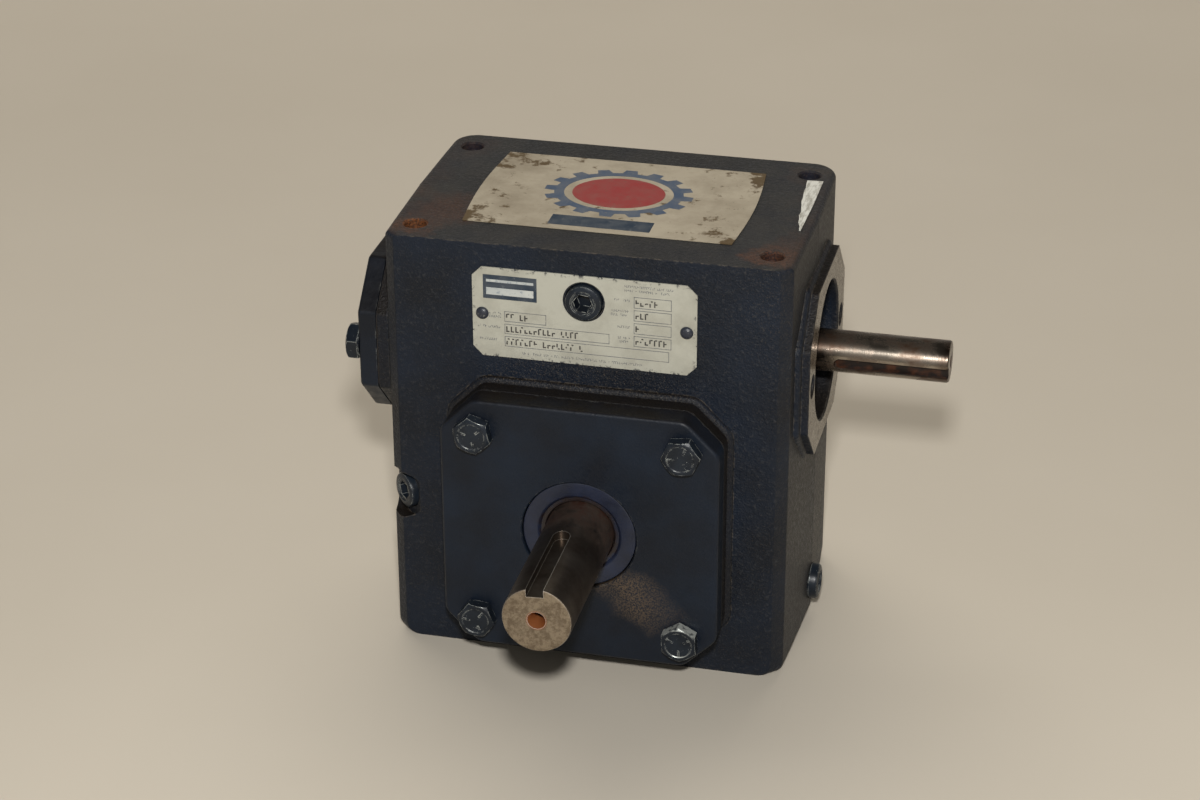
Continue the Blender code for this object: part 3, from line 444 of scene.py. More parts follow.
def casting_height(g):
    """The grain of the sand mould: coarse lumps with finer ones on them."""
    coarse = g.noise(620, 4, 0.6)
    fine = g.noise(1500, 3, 0.6)
    return g.plus(g.times(coarse, 0.8), g.times(fine, 0.45))


def housing_paint():
    g = Graph("housing_paint")
    patches = g.noise(26, 5, 0.6)
    colour = g.mix(g.fade(patches, 0.38, 0.66), NAVY, NAVY_DARK)
    end_wall = g.fade(g.size(g.facing(0)), 0.6, 0.9)
    sandy = g.fade(g.noise(700, 5, 0.7), 0.40, 0.62, 0.15, 0.75)
    colour = g.mix(g.times(end_wall, sandy), colour, (0.034, 0.031, 0.027))
    upward = g.fade(g.facing(2), 0.55, 0.95)
    on_crown = g.times(upward, g.fade(g.z, HEIGHT - 0.004, HEIGHT - 0.001))
    film = g.times(on_crown, g.fade(g.noise(60, 6, 0.65), 0.25, 0.75, 0.35, 0.95))
    colour = g.mix(film, colour, (0.036, 0.034, 0.030))
    # Lighter colour on the peaks of the casting grain: a painted glint standing in for the speckled
    # highlights the lamps raise on the grain.
    painted_peak_glints = g.fade(casting_height(g), 0.68, 0.82, 0.0, 0.55)
    colour = g.mix(painted_peak_glints, colour, (0.034, 0.036, 0.040))
    # The ledges and flanks round the cover seats and bosses are darkened: partly soil, partly painted
    # shade.
    colour = g.mix(pad_soil_and_shade(g, upward), colour, SOIL_AND_SHADE)
    # Pale grains of dust, with a painted highlight along the root of the front seat.
    colour = g.mix(grit_and_glint(g, patches), colour, DUST_AND_GLINT)
    rust = g.mix(g.fade(g.noise(1500, 3), 0.4, 0.6), RUST_DARK, RUST)
    colour = g.mix(g.most(crown_rust(g, on_crown), hole_rust(g)), colour, rust)
    worn = g.times(g.edges(0.0009), g.fade(g.noise(420, 6, 0.75), 0.46, 0.60))
    on_walls = g.fade(g.size(g.y), HALF_DEPTH + 0.001, HALF_DEPTH, 0.0, 0.75)
    worn = g.times(worn, on_walls)
    colour = g.mix(worn, colour, (0.130, 0.108, 0.082))
    # The machined face of the input boss: its pale beige colour, with little metal, is partly bare iron
    # and partly a painted reflection of the pale floor.
    machined = machined_boss(g)
    streaks = g.fade(g.noise(160, 5, 0.6), 0.35, 0.65)
    colour = g.mix(machined, colour, g.mix(streaks, BARE_IRON_AND_REFLECTION, (0.115, 0.092, 0.068)))
    roughness = g.fade(g.noise(700, 4), 0.3, 0.7, 0.36, 0.62)
    roughness = g.plus(roughness, g.times(machined, -0.22))
    bump = g.bump(casting_height(g), 0.00065, g.fade(machined, 0.0, 1.0, 0.85, 0.04))
    return g.finish(colour, roughness, g.times(machined, 0.25), bump,
                    Specular_IOR_Level=0.24)


def pad_soil_and_shade(g, upward):
    """Soil and painted shade on the ledges and flanks of the cover seats and the input bosses: the dark
    colour is partly dirt and partly shade painted onto these flanks.
    """
    ledge = g.times(upward, g.fade(g.z, HEIGHT - 0.004, HEIGHT - 0.010))
    flank = g.fade(g.size(g.y), HALF_DEPTH + 0.0010, HALF_DEPTH + 0.0022)
    flank = g.times(flank, g.fade(g.facing(2), -0.5, 0.5, 0.35, 1.0))
    patchiness = g.fade(g.noise(90, 5), 0.3, 0.7, 0.75, 1.0)
    proud = g.fade(g.size(g.x), HALF_WIDTH + DRAFT_BULGE, HALF_WIDTH + DRAFT_BULGE + 0.001)
    boss = g.times(proud, g.fade(g.facing(2), -0.2, 0.6, 0.15, 0.9))
    flank = g.most(flank, boss)
    return g.times(g.most(ledge, flank), patchiness)


def grit_and_glint(g, patches):
    """Pale grains of dust caught in the casting, thickest where the front seat meets its wall, where along
    the top they also serve as a painted highlight on the fillet.
    """
    grains = g.fade(g.noise(1700, 3, 0.8), 0.58, 0.63)
    # Along the upper root of the front seat the pale grains are partly dust and partly a painted highlight
    # on the fillet.
    root = g.fade(g.size(g.plus(g.y, HALF_DEPTH + 0.0010)), 0.0018, 0.0008)
    root = g.times(root, g.fade(g.z, OUTPUT.z + 0.020, OUTPUT.z + 0.045, 0.2, 1.0))
    root = g.times(root, g.fade(g.from_line(OUTPUT.x, OUTPUT.z), 0.072, 0.062))
    spread = g.fade(patches, 0.4, 0.6, 0.05, 0.28)
    upper_right = g.times(g.fade(g.x, 0.030, 0.075), g.fade(g.z, 0.090, 0.150))
    spread = g.most(spread, g.times(upper_right, 0.55))
    return g.times(grains, g.most(spread, root))


def hole_reach(g):
    """The distance from the nearest tapped hole's axis on the top face."""
    across = g.minus(g.size(g.x), MOUNT_HOLE[0])
    along = g.minus(g.size(g.y), MOUNT_HOLE[1])
    return g.distance(across, along)


def hole_rust(g):
    """Rust down the threads of the tapped holes in the top face, brightest at the front."""
    inside = g.fade(hole_reach(g), MOUNT_HOLE_RADIUS + 0.0007, MOUNT_HOLE_RADIUS + 0.0004)
    deep = g.fade(g.z, HEIGHT - 0.022, HEIGHT - 0.018)
    below = g.times(inside, deep)
    left = g.fade(g.x, 0.030, -0.030, 0.45, 1.0)
    return g.times(below, g.times(left, g.fade(g.y, 0.030, -0.030, 0.15, 1.0)))


def crown_rust(g, on_crown):
    """Brown stains round the tapped holes of the top face and along its edges."""
    ragged = g.plus(hole_reach(g), g.fade(g.noise(110, 6, 0.65), 0.3, 0.7, -0.007, 0.007))
    ring = g.fade(ragged, 0.0110, 0.0048, 0.0, 0.38)
    front = g.fade(g.y, 0.030, -0.040, 0.20, 1.0)
    ragged_x = g.plus(g.size(g.x), g.fade(g.noise(70, 5), 0.3, 0.7, -0.008, 0.008))
    rim = g.fade(ragged_x, 0.066, 0.075, 0.0, 0.22)
    both = g.times(g.most(ring, rim), front)
    beside = g.distance(g.plus(g.x, 0.058), g.plus(g.y, 0.024))
    uneven = g.fade(g.noise(85, 6, 0.65), 0.3, 0.7, -0.010, 0.010)
    beside = g.fade(g.plus(beside, uneven), 0.020, 0.006, 0.0, 0.26)
    return g.times(g.most(both, beside), on_crown)


def machined_boss(g):
    """1 on the bare machined face of the input boss."""
    outward = g.fade(g.facing(0), 0.98, 0.999)
    return g.times(outward, g.fade(g.x, CASE_HIGH.x - 0.0006, CASE_HIGH.x - 0.0003))


def cover_paint():
    g = Graph("cover_paint")
    patches = g.noise(34, 5, 0.6)
    colour = g.mix(g.fade(patches, 0.35, 0.65), (0.0066, 0.0120, 0.0225), (0.0048, 0.0070, 0.0120))
    # Up-facing faces of the cover, chiefly the top of its rim, are darkened: partly soil, partly painted
    # shade.
    upward = g.fade(g.facing(2), 0.45, 0.95)
    colour = g.mix(g.times(upward, g.fade(g.noise(120, 5), 0.3, 0.7, 0.55, 1.0)), colour, SOIL_AND_SHADE)
    across = g.minus(g.x, OUTPUT.x + 0.018)
    down = g.minus(g.z, OUTPUT.z - 0.022)
    drift = g.plus(down, g.times(across, 0.45))
    drift = g.plus(drift, g.fade(g.noise(60, 4), 0.3, 0.7, -0.005, 0.005))
    near = g.fade(g.distance(across, g.times(drift, 2.0)), 0.025, 0.003)
    near = g.times(near, g.fade(g.y, -0.050, -0.064))
    powder = g.times(near, g.fade(g.noise(1700, 4, 0.75), 0.42, 0.58))
    colour = g.mix(g.times(powder, 0.75), colour, (0.115, 0.080, 0.050))
    worn = g.times(g.edges(0.0010), g.fade(g.noise(300, 6, 0.75), 0.50, 0.62))
    colour = g.mix(g.times(worn, 0.7), colour, (0.15, 0.15, 0.14))
    roughness = g.fade(g.noise(300, 4), 0.3, 0.7, 0.36, 0.56)
    bump = g.bump(g.noise(620, 4, 0.6), 0.00030, 0.40)
    return g.finish(colour, roughness, 0.0, bump, Specular_IOR_Level=0.26)


def bolt_paint():
    g = Graph("painted_bolt")
    colour = g.mix(g.fade(g.noise(120, 4), 0.4, 0.6), (0.0100, 0.0150, 0.0230), (0.0060, 0.0090, 0.0140))
    chipped = g.times(g.edges(0.0005, 0.985, 0.90), g.fade(g.noise(380, 5, 0.75), 0.47, 0.52))
    scuffs = g.fade(g.noise(800, 5, 0.75), 0.66, 0.69, 0.0, 0.8)
    bare = g.most(chipped, scuffs)
    lower_right = g.from_line(OUTPUT.x + COVER_BOLT, OUTPUT.z - COVER_BOLT)
    rubbed = g.fade(lower_right, 0.010, 0.008)
    rubbed = g.times(rubbed, g.fade(g.facing(2), 0.25, 0.55))
    bare = g.most(bare, g.times(rubbed, g.fade(g.noise(500, 4), 0.35, 0.5)))
    colour = g.mix(bare, colour, PAINT_CHIP)
    roughness = g.fade(g.noise(500, 4), 0.3, 0.7, 0.28, 0.45)
    bump = g.bump(g.noise(900, 4, 0.6), 0.00008, 0.5)
    return g.finish(colour, roughness, g.times(bare, 0.4), bump,
                    Specular_IOR_Level=0.30)


def output_shaft_steel():
    g = Graph("output_shaft_steel")
    rings = g.noise(1.0, 5, 0.6, g.stretch(30, 2600, 30))
    stain = g.noise(55, 6, 0.65)
    colour = g.mix(g.fade(stain, 0.35, 0.65), (0.130, 0.108, 0.088), (0.055, 0.040, 0.030))
    at_seal = g.fade(g.y, -COVER_FACE - 0.022, -COVER_FACE - 0.002)
    rusty = g.times(at_seal, g.fade(g.noise(160, 6, 0.7), 0.30, 0.60))
    colour = g.mix(rusty, colour, (0.038, 0.014, 0.008))
    end = g.fade(g.y, OUTPUT_END + 0.0006, OUTPUT_END + 0.0002)
    blotch = g.fade(g.noise(520, 5, 0.7), 0.42, 0.60)
    colour = g.mix(end, colour, g.mix(blotch, (0.330, 0.272, 0.200), (0.190, 0.148, 0.105)))
    near_axis = g.fade(g.from_line(OUTPUT.x, OUTPUT.z), 0.0040, 0.0034)
    in_centre = g.times(near_axis, g.fade(g.y, -0.110, -0.118))
    colour = g.mix(in_centre, colour, (0.22, 0.075, 0.025))
    bright = g.times(g.edges(0.0005), 0.8)
    colour = g.mix(bright, colour, (0.62, 0.58, 0.52))
    roughness = g.fade(g.plus(stain, rusty), 0.3, 1.2, 0.30, 0.60)
    roughness = g.plus(roughness, g.times(end, 0.18))
    metal = g.fade(g.most(rusty, in_centre), 0.1, 0.9, 0.92, 0.25)
    bump = g.bump(rings, 0.00003, 0.5)
    bump = g.bump(g.noise(1200, 4, 0.7), 0.00005, 0.35, bump)
    return g.finish(colour, roughness, metal, bump)


def input_shaft_steel():
    g = Graph("input_shaft_steel")
    rings = g.noise(1.0, 5, 0.6, g.stretch(3000, 30, 30))
    stain = g.fade(g.noise(1.0, 6, 0.65, g.stretch(70, 110, 110)), 0.42, 0.62)
    colour = g.mix(stain, (0.270, 0.235, 0.195), (0.085, 0.052, 0.034))
    end = g.fade(g.x, INPUT_END - 0.0055, INPUT_END - 0.0010)
    ends = g.most(end, g.fade(g.x, 0.0875, 0.0790))
    band = g.times(ends, g.fade(g.noise(260, 5), 0.3, 0.7, 0.35, 0.90))
    colour = g.mix(band, colour, (0.060, 0.034, 0.022))
    reach = g.distance(g.y, g.minus(g.z, INPUT.z))
    in_slot = g.times(g.fade(reach, 0.0076, 0.0073), g.fade(g.x, 0.082, 0.083))
    on_side = g.fade(g.facing(0), 0.9, 0.6)
    in_slot = g.times(in_slot, on_side)
    slot_rust = g.mix(g.fade(g.noise(240, 5), 0.36, 0.54), (0.070, 0.026, 0.012), (0.014, 0.009, 0.007))
    colour = g.mix(in_slot, colour, slot_rust)
    roughness = g.plus(g.fade(stain, 0.0, 1.0, 0.20, 0.40), g.times(in_slot, 0.3))
    metal = g.minus(g.fade(stain, 0.0, 1.0, 1.0, 0.75), g.times(in_slot, 0.7))
    return g.finish(colour, roughness, metal, g.bump(rings, 0.000025, 0.6))


def seal_paint():
    g = Graph("painted_seal")
    colour = g.mix(g.fade(g.noise(90, 5), 0.35, 0.65), (0.011, 0.017, 0.040), (0.007, 0.010, 0.021))
    reach = g.from_line(OUTPUT.x, OUTPUT.z)
    ragged = g.plus(reach, g.fade(g.noise(220, 5, 0.65), 0.3, 0.7, -0.0016, 0.0016))
    colour = g.mix(g.fade(ragged, 0.0158, 0.0138, 0.0, 0.9), colour, (0.014, 0.008, 0.006))
    roughness = g.fade(g.noise(400, 4), 0.3, 0.7, 0.32, 0.5)
    return g.finish(colour, roughness, 0.0, g.bump(g.noise(800, 4), 0.0001, 0.3))


def nameplate_foil():
    g = Graph("nameplate_foil")
    dirt = g.noise(70, 6, 0.65)
    colour = g.mix(g.fade(dirt, 0.45, 0.72, 0.0, 0.5), (0.430, 0.428, 0.368), (0.240, 0.225, 0.180))
    rim_x = g.fade(g.size(g.x), 0.0398, 0.0415)
    rim_z = g.fade(g.size(g.minus(g.z, 0.1408)), 0.0160, 0.0177)
    rim = g.most(rim_x, rim_z)
    flecks = g.times(rim, g.fade(g.noise(520, 5, 0.7), 0.56, 0.60))
    nicks = g.fade(g.noise(900, 5, 0.75), 0.72, 0.74)
    colour = g.mix(g.most(flecks, nicks), colour, (0.015, 0.018, 0.028))
    roughness = g.fade(dirt, 0.3, 0.7, 0.38, 0.55)
    return g.finish(colour, roughness, 0.12, g.bump(g.noise(600, 3), 0.00003, 0.3))


def ink(name, colour, worn_to, wear):
    """A printed colour that has rubbed thin in places."""
    g = Graph(name)
    thin = g.fade(g.noise(650, 5, 0.7), 0.50 + wear, 0.60 + wear)
    tone = g.mix(g.fade(g.noise(180, 4), 0.35, 0.65, 0.0, 0.35), colour, worn_to)
    return g.finish(g.mix(thin, tone, worn_to), g.fade(thin, 0.0, 1.0, 0.42, 0.60))


def label_film():
    g = Graph("label_film")
    grime = g.noise(38, 6, 0.65)
    colour = g.mix(g.fade(grime, 0.40, 0.72), (0.36, 0.315, 0.235), (0.215, 0.180, 0.125))
    specks = g.fade(g.noise(420, 5, 0.75), 0.63, 0.69)
    colour = g.mix(g.times(specks, 0.7), colour, (0.10, 0.075, 0.045))
    across = g.fade(g.size(g.x), 0.030, 0.049)
    corner = g.times(across, g.fade(g.size(g.y), 0.012, 0.034))
    rusty = g.fade(g.plus(g.noise(130, 6, 0.7), g.times(corner, 0.20)), 0.60, 0.66)
    colour = g.mix(rusty, colour, (0.085, 0.055, 0.022))
    scratches = g.noise(1.0, 4, 0.7, g.stretch(60, 420, 60))
    colour = g.mix(g.fade(scratches, 0.71, 0.74, 0.0, 0.8), colour, (0.035, 0.035, 0.035))
    return g.finish(colour, g.fade(grime, 0.3, 0.7, 0.45, 0.62), 0.0,
                    g.bump(g.noise(300, 4), 0.00006, 0.3))


def torn_film():
    g = Graph("torn_label_film")
    fibres = g.noise(1.0, 5, 0.7, g.stretch(700, 150, 150))
    colour = g.mix(g.fade(fibres, 0.45, 0.62), (0.60, 0.60, 0.55), (0.30, 0.29, 0.25))
    return g.finish(colour, 0.7, 0.0, g.bump(fibres, 0.00003, 0.3))


def two_tone(name, colours, scale, roughness, metallic, grain):
    """A plain material: two colours in patches, a roughness range and a (scale, detail, depth,
    strength) grain."""
    g = Graph(name)
    colour = g.mix(g.fade(g.noise(scale, 5), 0.4, 0.6), *colours)
    shine = g.fade(g.noise(500, 4), 0.3, 0.7, *roughness)
    size, detail, depth, strength = grain
    return g.finish(colour, shine, metallic, g.bump(g.noise(size, detail), depth, strength))


def wheel_bronze():
    g = Graph("wheel_bronze")
    colour = g.mix(g.fade(g.noise(130, 5), 0.4, 0.62), (0.62, 0.37, 0.13), (0.38, 0.20, 0.07))
    tool_marks = g.noise(1.0, 4, 0.6, g.stretch(60, 2200, 60))
    return g.finish(colour, g.fade(g.noise(600, 4), 0.3, 0.7, 0.22, 0.36), 1.0,
                    g.bump(tool_marks, 0.00003, 0.4))


def drive_screw_steel():
    g = Graph("drive_screw_steel")
    bare = g.fade(g.noise(900, 5, 0.7), 0.58, 0.64)
    colour = g.mix(bare, (0.018, 0.022, 0.034), (0.30, 0.30, 0.28))
    return g.finish(colour, 0.4, g.times(bare, 0.8), g.bump(g.noise(1500, 3), 0.00005, 0.4))


# Housing ---------------------------------

def edge_inset(height):
    """How far an end wall is drawn in by the rounding of its lower and upper edges."""
    for radius, gap in ((FOOT_RADIUS, height), (CROWN_RADIUS, HEIGHT - height)):
        if gap < radius:
            return radius - math.sqrt(radius ** 2 - (radius - gap) ** 2)
    return 0.0


def draft_bulge(height):
    """How far an end wall swells at the parting line, at this height."""
    share = max(0.0, (height - DRAFT_TOP) / (HEIGHT - DRAFT_TOP))
    return DRAFT_BULGE + (CROWN_BULGE - DRAFT_BULGE) * share


def right_half_outline(height):
    """The housing's outline seen from above, from the front round to the back."""
    x = HALF_WIDTH - edge_inset(height)
    y = HALF_DEPTH
    chamfer = FRONT_CHAMFER - 0.0006
    points = [(x - FRONT_CHAMFER, -y), (x - chamfer, -y + 0.0002),
              (x - 0.0002, -y + chamfer), (x, -y + FRONT_CHAMFER)]
    swell = draft_bulge(height)
    for share in (0.35, 0.7, 0.92, 0.985):
        points.append((x + swell * share, -y * (1 - share)))
    points.append((x + swell + 0.0001, 0))
    for share in (0.985, 0.92, 0.7, 0.35):
        points.append((x + swell * share, y * (1 - share)))
    for step in range(9):
        angle = math.radians(90) * step / 8
        points.append((x - BACK_RADIUS + BACK_RADIUS * math.cos(angle),
                       y - BACK_RADIUS + BACK_RADIUS * math.sin(angle)))
    return points


def housing_casting():
    arc = [math.radians(90) * step / 7 for step in range(8)]
    foot = [FOOT_RADIUS * (1 - math.cos(angle)) for angle in arc]
    crown = [HEIGHT - CROWN_RADIUS * (1 - math.cos(angle)) for angle in reversed(arc)]
    sections = []
    for height in foot + [0.03, 0.06, 0.08, DRAFT_TOP, 0.125, 0.145] + crown:
        right = right_half_outline(height)
        left = [(-x, y) for x, y in reversed(right)]
        sections.append([(x, y, height) for x, y in right + left])
    return loft("housing_casting", sections)


def cover_shape():
    return (COVER_HALF_WIDTH, COVER_HALF_HEIGHT, COVER_CUT, COVER_CORNER_RADIUS)


def housing_additions():
    """The raised seats of the covers, the input boss and the boss at the far end."""
    front = Matrix.Translation(OUTPUT) @ TO_FRONT
    back = Matrix.Translation(OUTPUT) @ TO_BACK
    right = Matrix.Translation((0, 0, INPUT.z)) @ TO_RIGHT
    left = Matrix.Translation((0, 0, INPUT.z)) @ TO_LEFT
    right_shape = (RIGHT_BOSS_HALF_HEIGHT, BOSS_HALF_WIDTH, BOSS_CUT, 0.002)
    left_shape = (LEFT_BOSS_HALF_HEIGHT, BOSS_HALF_WIDTH, BOSS_CUT, 0.002)
    return [
        raised_plate("front_pad", cover_shape(), HALF_DEPTH, -CASE_LOW.y, 0.0002, 0.0020, front),
        raised_plate("back_pad", cover_shape(), HALF_DEPTH, CASE_HIGH.y, 0.0002, 0.0020, back),
        raised_plate("right_boss", right_shape, HALF_WIDTH + 0.0006, CASE_HIGH.x, 0.0003, 0.0020, right),
        raised_plate("left_boss", left_shape, HALF_WIDTH + 0.0006, -CASE_LOW.x, 0.0005, 0.0020, left),
    ]


def drilled(name, point, direction, radius, depth, countersink=0.0, segments=32):
    """A round cutter with an optional wider mouth, running along the direction."""
    axis = Matrix.Translation(point) @ direction
    if not countersink:
        return rod(name, radius, -0.002, depth, axis, segments)
    profile = [(0.0, -0.002), (radius + countersink, -0.002), (radius + countersink, 0.0),
               (radius, countersink), (radius, depth), (0.0, depth + radius * 0.5)]
    return turned(name, profile, axis, segments)


def housing_cutters():
    cutters = []
    for x in (-MOUNT_HOLE[0], MOUNT_HOLE[0]):
        for y in (-MOUNT_HOLE[1], MOUNT_HOLE[1]):
            for name, z, direction in (("top", HEIGHT, TO_FOOT), ("foot", 0, UP)):
                cutters.append(drilled(name + "_hole", (x, y, z), direction, MOUNT_HOLE_RADIUS,
                                       MOUNT_HOLE_DEPTH, 0.0006))
    for x in (-COVER_BOLT, COVER_BOLT):
        for z in (-COVER_BOLT, COVER_BOLT):
            for y, inward in ((CASE_LOW.y, TO_BACK), (CASE_HIGH.y, TO_FRONT)):
                cutters.append(drilled("bolt_hole", (OUTPUT.x + x, y, OUTPUT.z + z), inward,
                                       BOLT_HOLE, 0.015))
    for face, inward in ((CASE_HIGH.x, TO_LEFT), (CASE_LOW.x, TO_RIGHT)):
        for y in (-CAP_BOLT_Y, CAP_BOLT_Y):
            cutters.append(drilled("boss_hole", (face, y, INPUT.z), inward, BOLT_HOLE, 0.018, 0.0005))
    return cutters + plug_cutters() + screw_cutters()


def outer_face(node, direction):
    """The middle of a fitting's outer face, as a frame whose +Z points outwards."""
    low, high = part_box(node)
    centre = (low + high) / 2
    outward = direction.to_3x3() @ Vector((0, 0, 1))
    for axis in range(3):
        if abs(outward[axis]) > 0.5:
            centre[axis] = high[axis] if outward[axis] > 0 else low[axis]
    return Matrix.Translation(centre) @ direction


FILL_PLUG = outer_face("fill_plug", TO_FRONT)
DRAIN_PLUG = outer_face("drain_plug", TO_RIGHT)
CORNER_OUT = Matrix.Rotation(math.radians(-45), 4, "Z") @ TO_FRONT
LEVEL_PLUG_Z = sum(corner.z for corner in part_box("level_plug")) / 2
CORNER = Matrix.Translation((-HALF_WIDTH, -HALF_DEPTH, LEVEL_PLUG_Z))
LEVEL_PLUG = CORNER @ CORNER_OUT @ Matrix.Translation((0, 0, -0.0050))


def plug_cutters():
    fill = rod("fill_hole", PLUG_RADIUS + FIT_GAP, -0.030, 0.001, FILL_PLUG)
    drain = rod("drain_hole", PLUG_RADIUS + FIT_GAP, -0.022, 0.001, DRAIN_PLUG)
    level = rod("level_hole", PLUG_RADIUS + FIT_GAP, -0.016, 0.001, LEVEL_PLUG)
    pocket = rod("level_pocket", LEVEL_POCKET, -0.0079, 0.006, CORNER @ CORNER_OUT)
    return [fill, drain, pocket, level]


def screw_cutters():
    holes = []
    for node in ("drive_screw_left", "drive_screw_right"):
        spot = outer_face(node, TO_FRONT).translation
        spot.y = -HALF_DEPTH
        holes.append(drilled(node + "_hole", spot, TO_BACK, DRIVE_SCREW_HOLE, 0.0058, 0.0, 16))
    return holes


def make_housing():
    housing = housing_casting()
    join(housing, *housing_additions())
    half_width, half_depth = HALF_WIDTH - WALL, HALF_DEPTH - SIDE_WALL
    chamber = box("chamber", (-half_width, -half_depth, WALL), (half_width, half_depth, CHAMBER_TOP))
    join(chamber, box("worm_chamber", *WORM_CHAMBER))
    cut(housing, chamber)
    join(housing, rod("right_tube", TUBE_RADIUS, 0.0385, 0.072, INPUT_AXIS),
         rod("left_tube", TUBE_RADIUS, -0.072, -0.0365, INPUT_AXIS))
    opening = rod("openings", COVER_OPENING, -0.066, 0.066, OUTPUT_AXIS)
    bore = rod("bore", BEARING_BORE, CASE_LOW.x - 0.002, CASE_HIGH.x + 0.002, INPUT_AXIS, 96)
    lead_in = turned("bore_lead_in", [(0.0, 0.002), (BEARING_BORE + 0.0026, 0.002),
                                      (BEARING_BORE, -0.0006), (0.0, -0.0006)],
                     Matrix.Translation((CASE_HIGH.x, 0, INPUT.z)) @ TO_RIGHT, 96)
    cut(housing, opening, bore, lead_in, *housing_cutters())
    settle(housing, "gear_case", MATERIALS["housing"], ["housing"])


# Covers ----------------------------------

def make_cover(name, side, through):
    axis = Matrix.Translation(OUTPUT) @ (TO_FRONT if side < 0 else TO_BACK)
    pad = -CASE_LOW.y if side < 0 else CASE_HIGH.y
    back = pad + GASKET_ROOM
    cover = raised_plate(name + "_plate", cover_shape(), back, COVER_FACE, 0.0014, 0.0, axis)
    join(cover, rod(name + "_spigot", COVER_SPIGOT, 0.0445, back + 0.002, axis))
    cutters = [rod("seat", COVER_BEARING_SEAT, 0.042, 0.0608, axis)]
    for x in (-COVER_BOLT, COVER_BOLT):
        for y in (-COVER_BOLT, COVER_BOLT):
            place = axis @ Matrix.Translation((x, y, back))
            cutters.append(rod("cover_hole", COVER_HOLE, -0.002, COVER_FACE - back + 0.002, place, 32))
    if through:
        cutters.append(rod("seal_bore", SEAL_BORE, 0.042, COVER_FACE + 0.002, axis, 96))
        above, below = COVER_FACE + 0.001, COVER_FACE - 0.0004
        mouth = [(0.0, above), (SEAL_BORE + 0.0014, above), (SEAL_BORE, below), (0.0, below)]
        cutters.append(turned("seal_lead_in", mouth, axis, 96))
    cut(cover, *cutters)
    settle(cover, "gear_case", MATERIALS["cover"], [name])


def make_end_cap():
    axis = Matrix.Translation((0, 0, INPUT.z)) @ TO_LEFT
    face = -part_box("input_end_cap")[0].x
    start = -CASE_LOW.x + GASKET_ROOM
    shape = (CAP_HALF_HEIGHT, CAP_HALF_WIDTH, BOSS_CUT - 0.0005, 0.0025)
    cap = raised_plate("end_cap", shape, start, face, 0.0012, 0.0, axis)
    outer, inner = CAP_SPIGOT
    profile = [(0.0, start + 0.002), (outer, start + 0.002), (outer, 0.0523), (inner, 0.0523),
               (inner, start - 0.003), (0.0, start - 0.003)]
    spigot = turned("cap_spigot", profile, axis)
    join(cap, spigot)
    holes = [drilled("cap_hole", (CASE_LOW.x, y, INPUT.z), TO_LEFT, COVER_HOLE, 0.010)
             for y in (-CAP_BOLT_Y, CAP_BOLT_Y)]
    cut(cap, *holes)
    settle(cap, "gear_case", MATERIALS["cover"], ["input_end_cap"])


# Fasteners and plugs ---------------------

def make_bolt(node, direction, turn):
    """A hexagon bolt with a chamfered head, a washer face and three raised grade lines."""
    seat = outer_face(node, direction) @ Matrix.Translation((0, 0, -BOLT_HEAD))
    corner = BOLT_ACROSS_FLATS / math.sqrt(3)
    washer = FIT_GAP + 0.0005
    dome = [(0.0, BOLT_HEAD - 0.0002), (corner * 0.66, BOLT_HEAD - 0.0002), (corner * 0.70, BOLT_HEAD),
            (corner * 0.80, BOLT_HEAD), (corner * 0.87, BOLT_HEAD - 0.0002),
            (corner * 1.03, BOLT_HEAD - 0.0011), (corner * 1.03, washer), (0.0, washer)]
    bolt = turned(node + "_head", dome, seat, 72)
    prism = rod("prism", corner, washer - 0.001, BOLT_HEAD + 0.002, seat, 6, turn)
    combine(bolt, "INTERSECT", [prism])
    stem = turned("stem", [(0.0, washer + 0.001), (corner * 0.84, washer + 0.001),
                           (corner * 0.84, FIT_GAP), (BOLT_RADIUS, FIT_GAP),
                           (BOLT_RADIUS, -BOLT_LENGTH), (0.0, -BOLT_LENGTH)], seat, 48)
    lines = []
    for number in range(3):
        spoke = box("grade_line", (0.0022, -0.00030, BOLT_HEAD - 0.0006), (0.0048, 0.00030, BOLT_HEAD))
        spoke.data.transform(seat @ Matrix.Rotation(turn + math.radians(30 + 120 * number), 4, "Z"))
        lines.append(spoke)
    join(bolt, stem, *lines)
    settle(bolt, "gear_case", MATERIALS["bolt"], [node], 25)


def make_plug(node, axis, length):
    """A pipe plug with a rounded rim, a dished face and a hexagon socket."""
    rim = PLUG_RADIUS
    profile = [(0.0, -0.0004), (rim - 0.0026, -0.0004), (rim - 0.0022, 0.0), (rim - 0.0012, 0.0),
               (rim - 0.0004, -0.0004), (rim, -0.0012)]
    for number in range(4):
        top = -0.0034 - number * 0.0013
        profile += [(rim, top), (rim - 0.0007, top - 0.00045), (rim, top - 0.0009)]
    profile += [(rim, 0.0008 - length), (rim - 0.0008, -length), (0.0, -length)]
    plug = turned(node + "_body", profile, axis, 64)
    socket = rod("socket", PLUG_SOCKET_ACROSS / math.sqrt(3), -0.0055, 0.001, axis, 6, 0.4)
    cut(plug, socket)
    settle(plug, "gear_case", MATERIALS["bolt"], [node])


def make_drive_screw(node):
    low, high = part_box(node)
    axis = outer_face(node, TO_FRONT)
    radius, height = DRIVE_SCREW_HEAD
    dome = [(radius * math.sin(math.radians(a)), height * math.cos(math.radians(a)) - height)
            for a in range(0, 91, 15)]
    profile = dome + [(0.0011, -height), (0.0011, low.y - high.y), (0.0, low.y - high.y)]
    screw = turned(node + "_head", profile, axis, 32)
    settle(screw, "gear_case", MATERIALS["drive_screw"], [node])


# Seals -----------------------------------

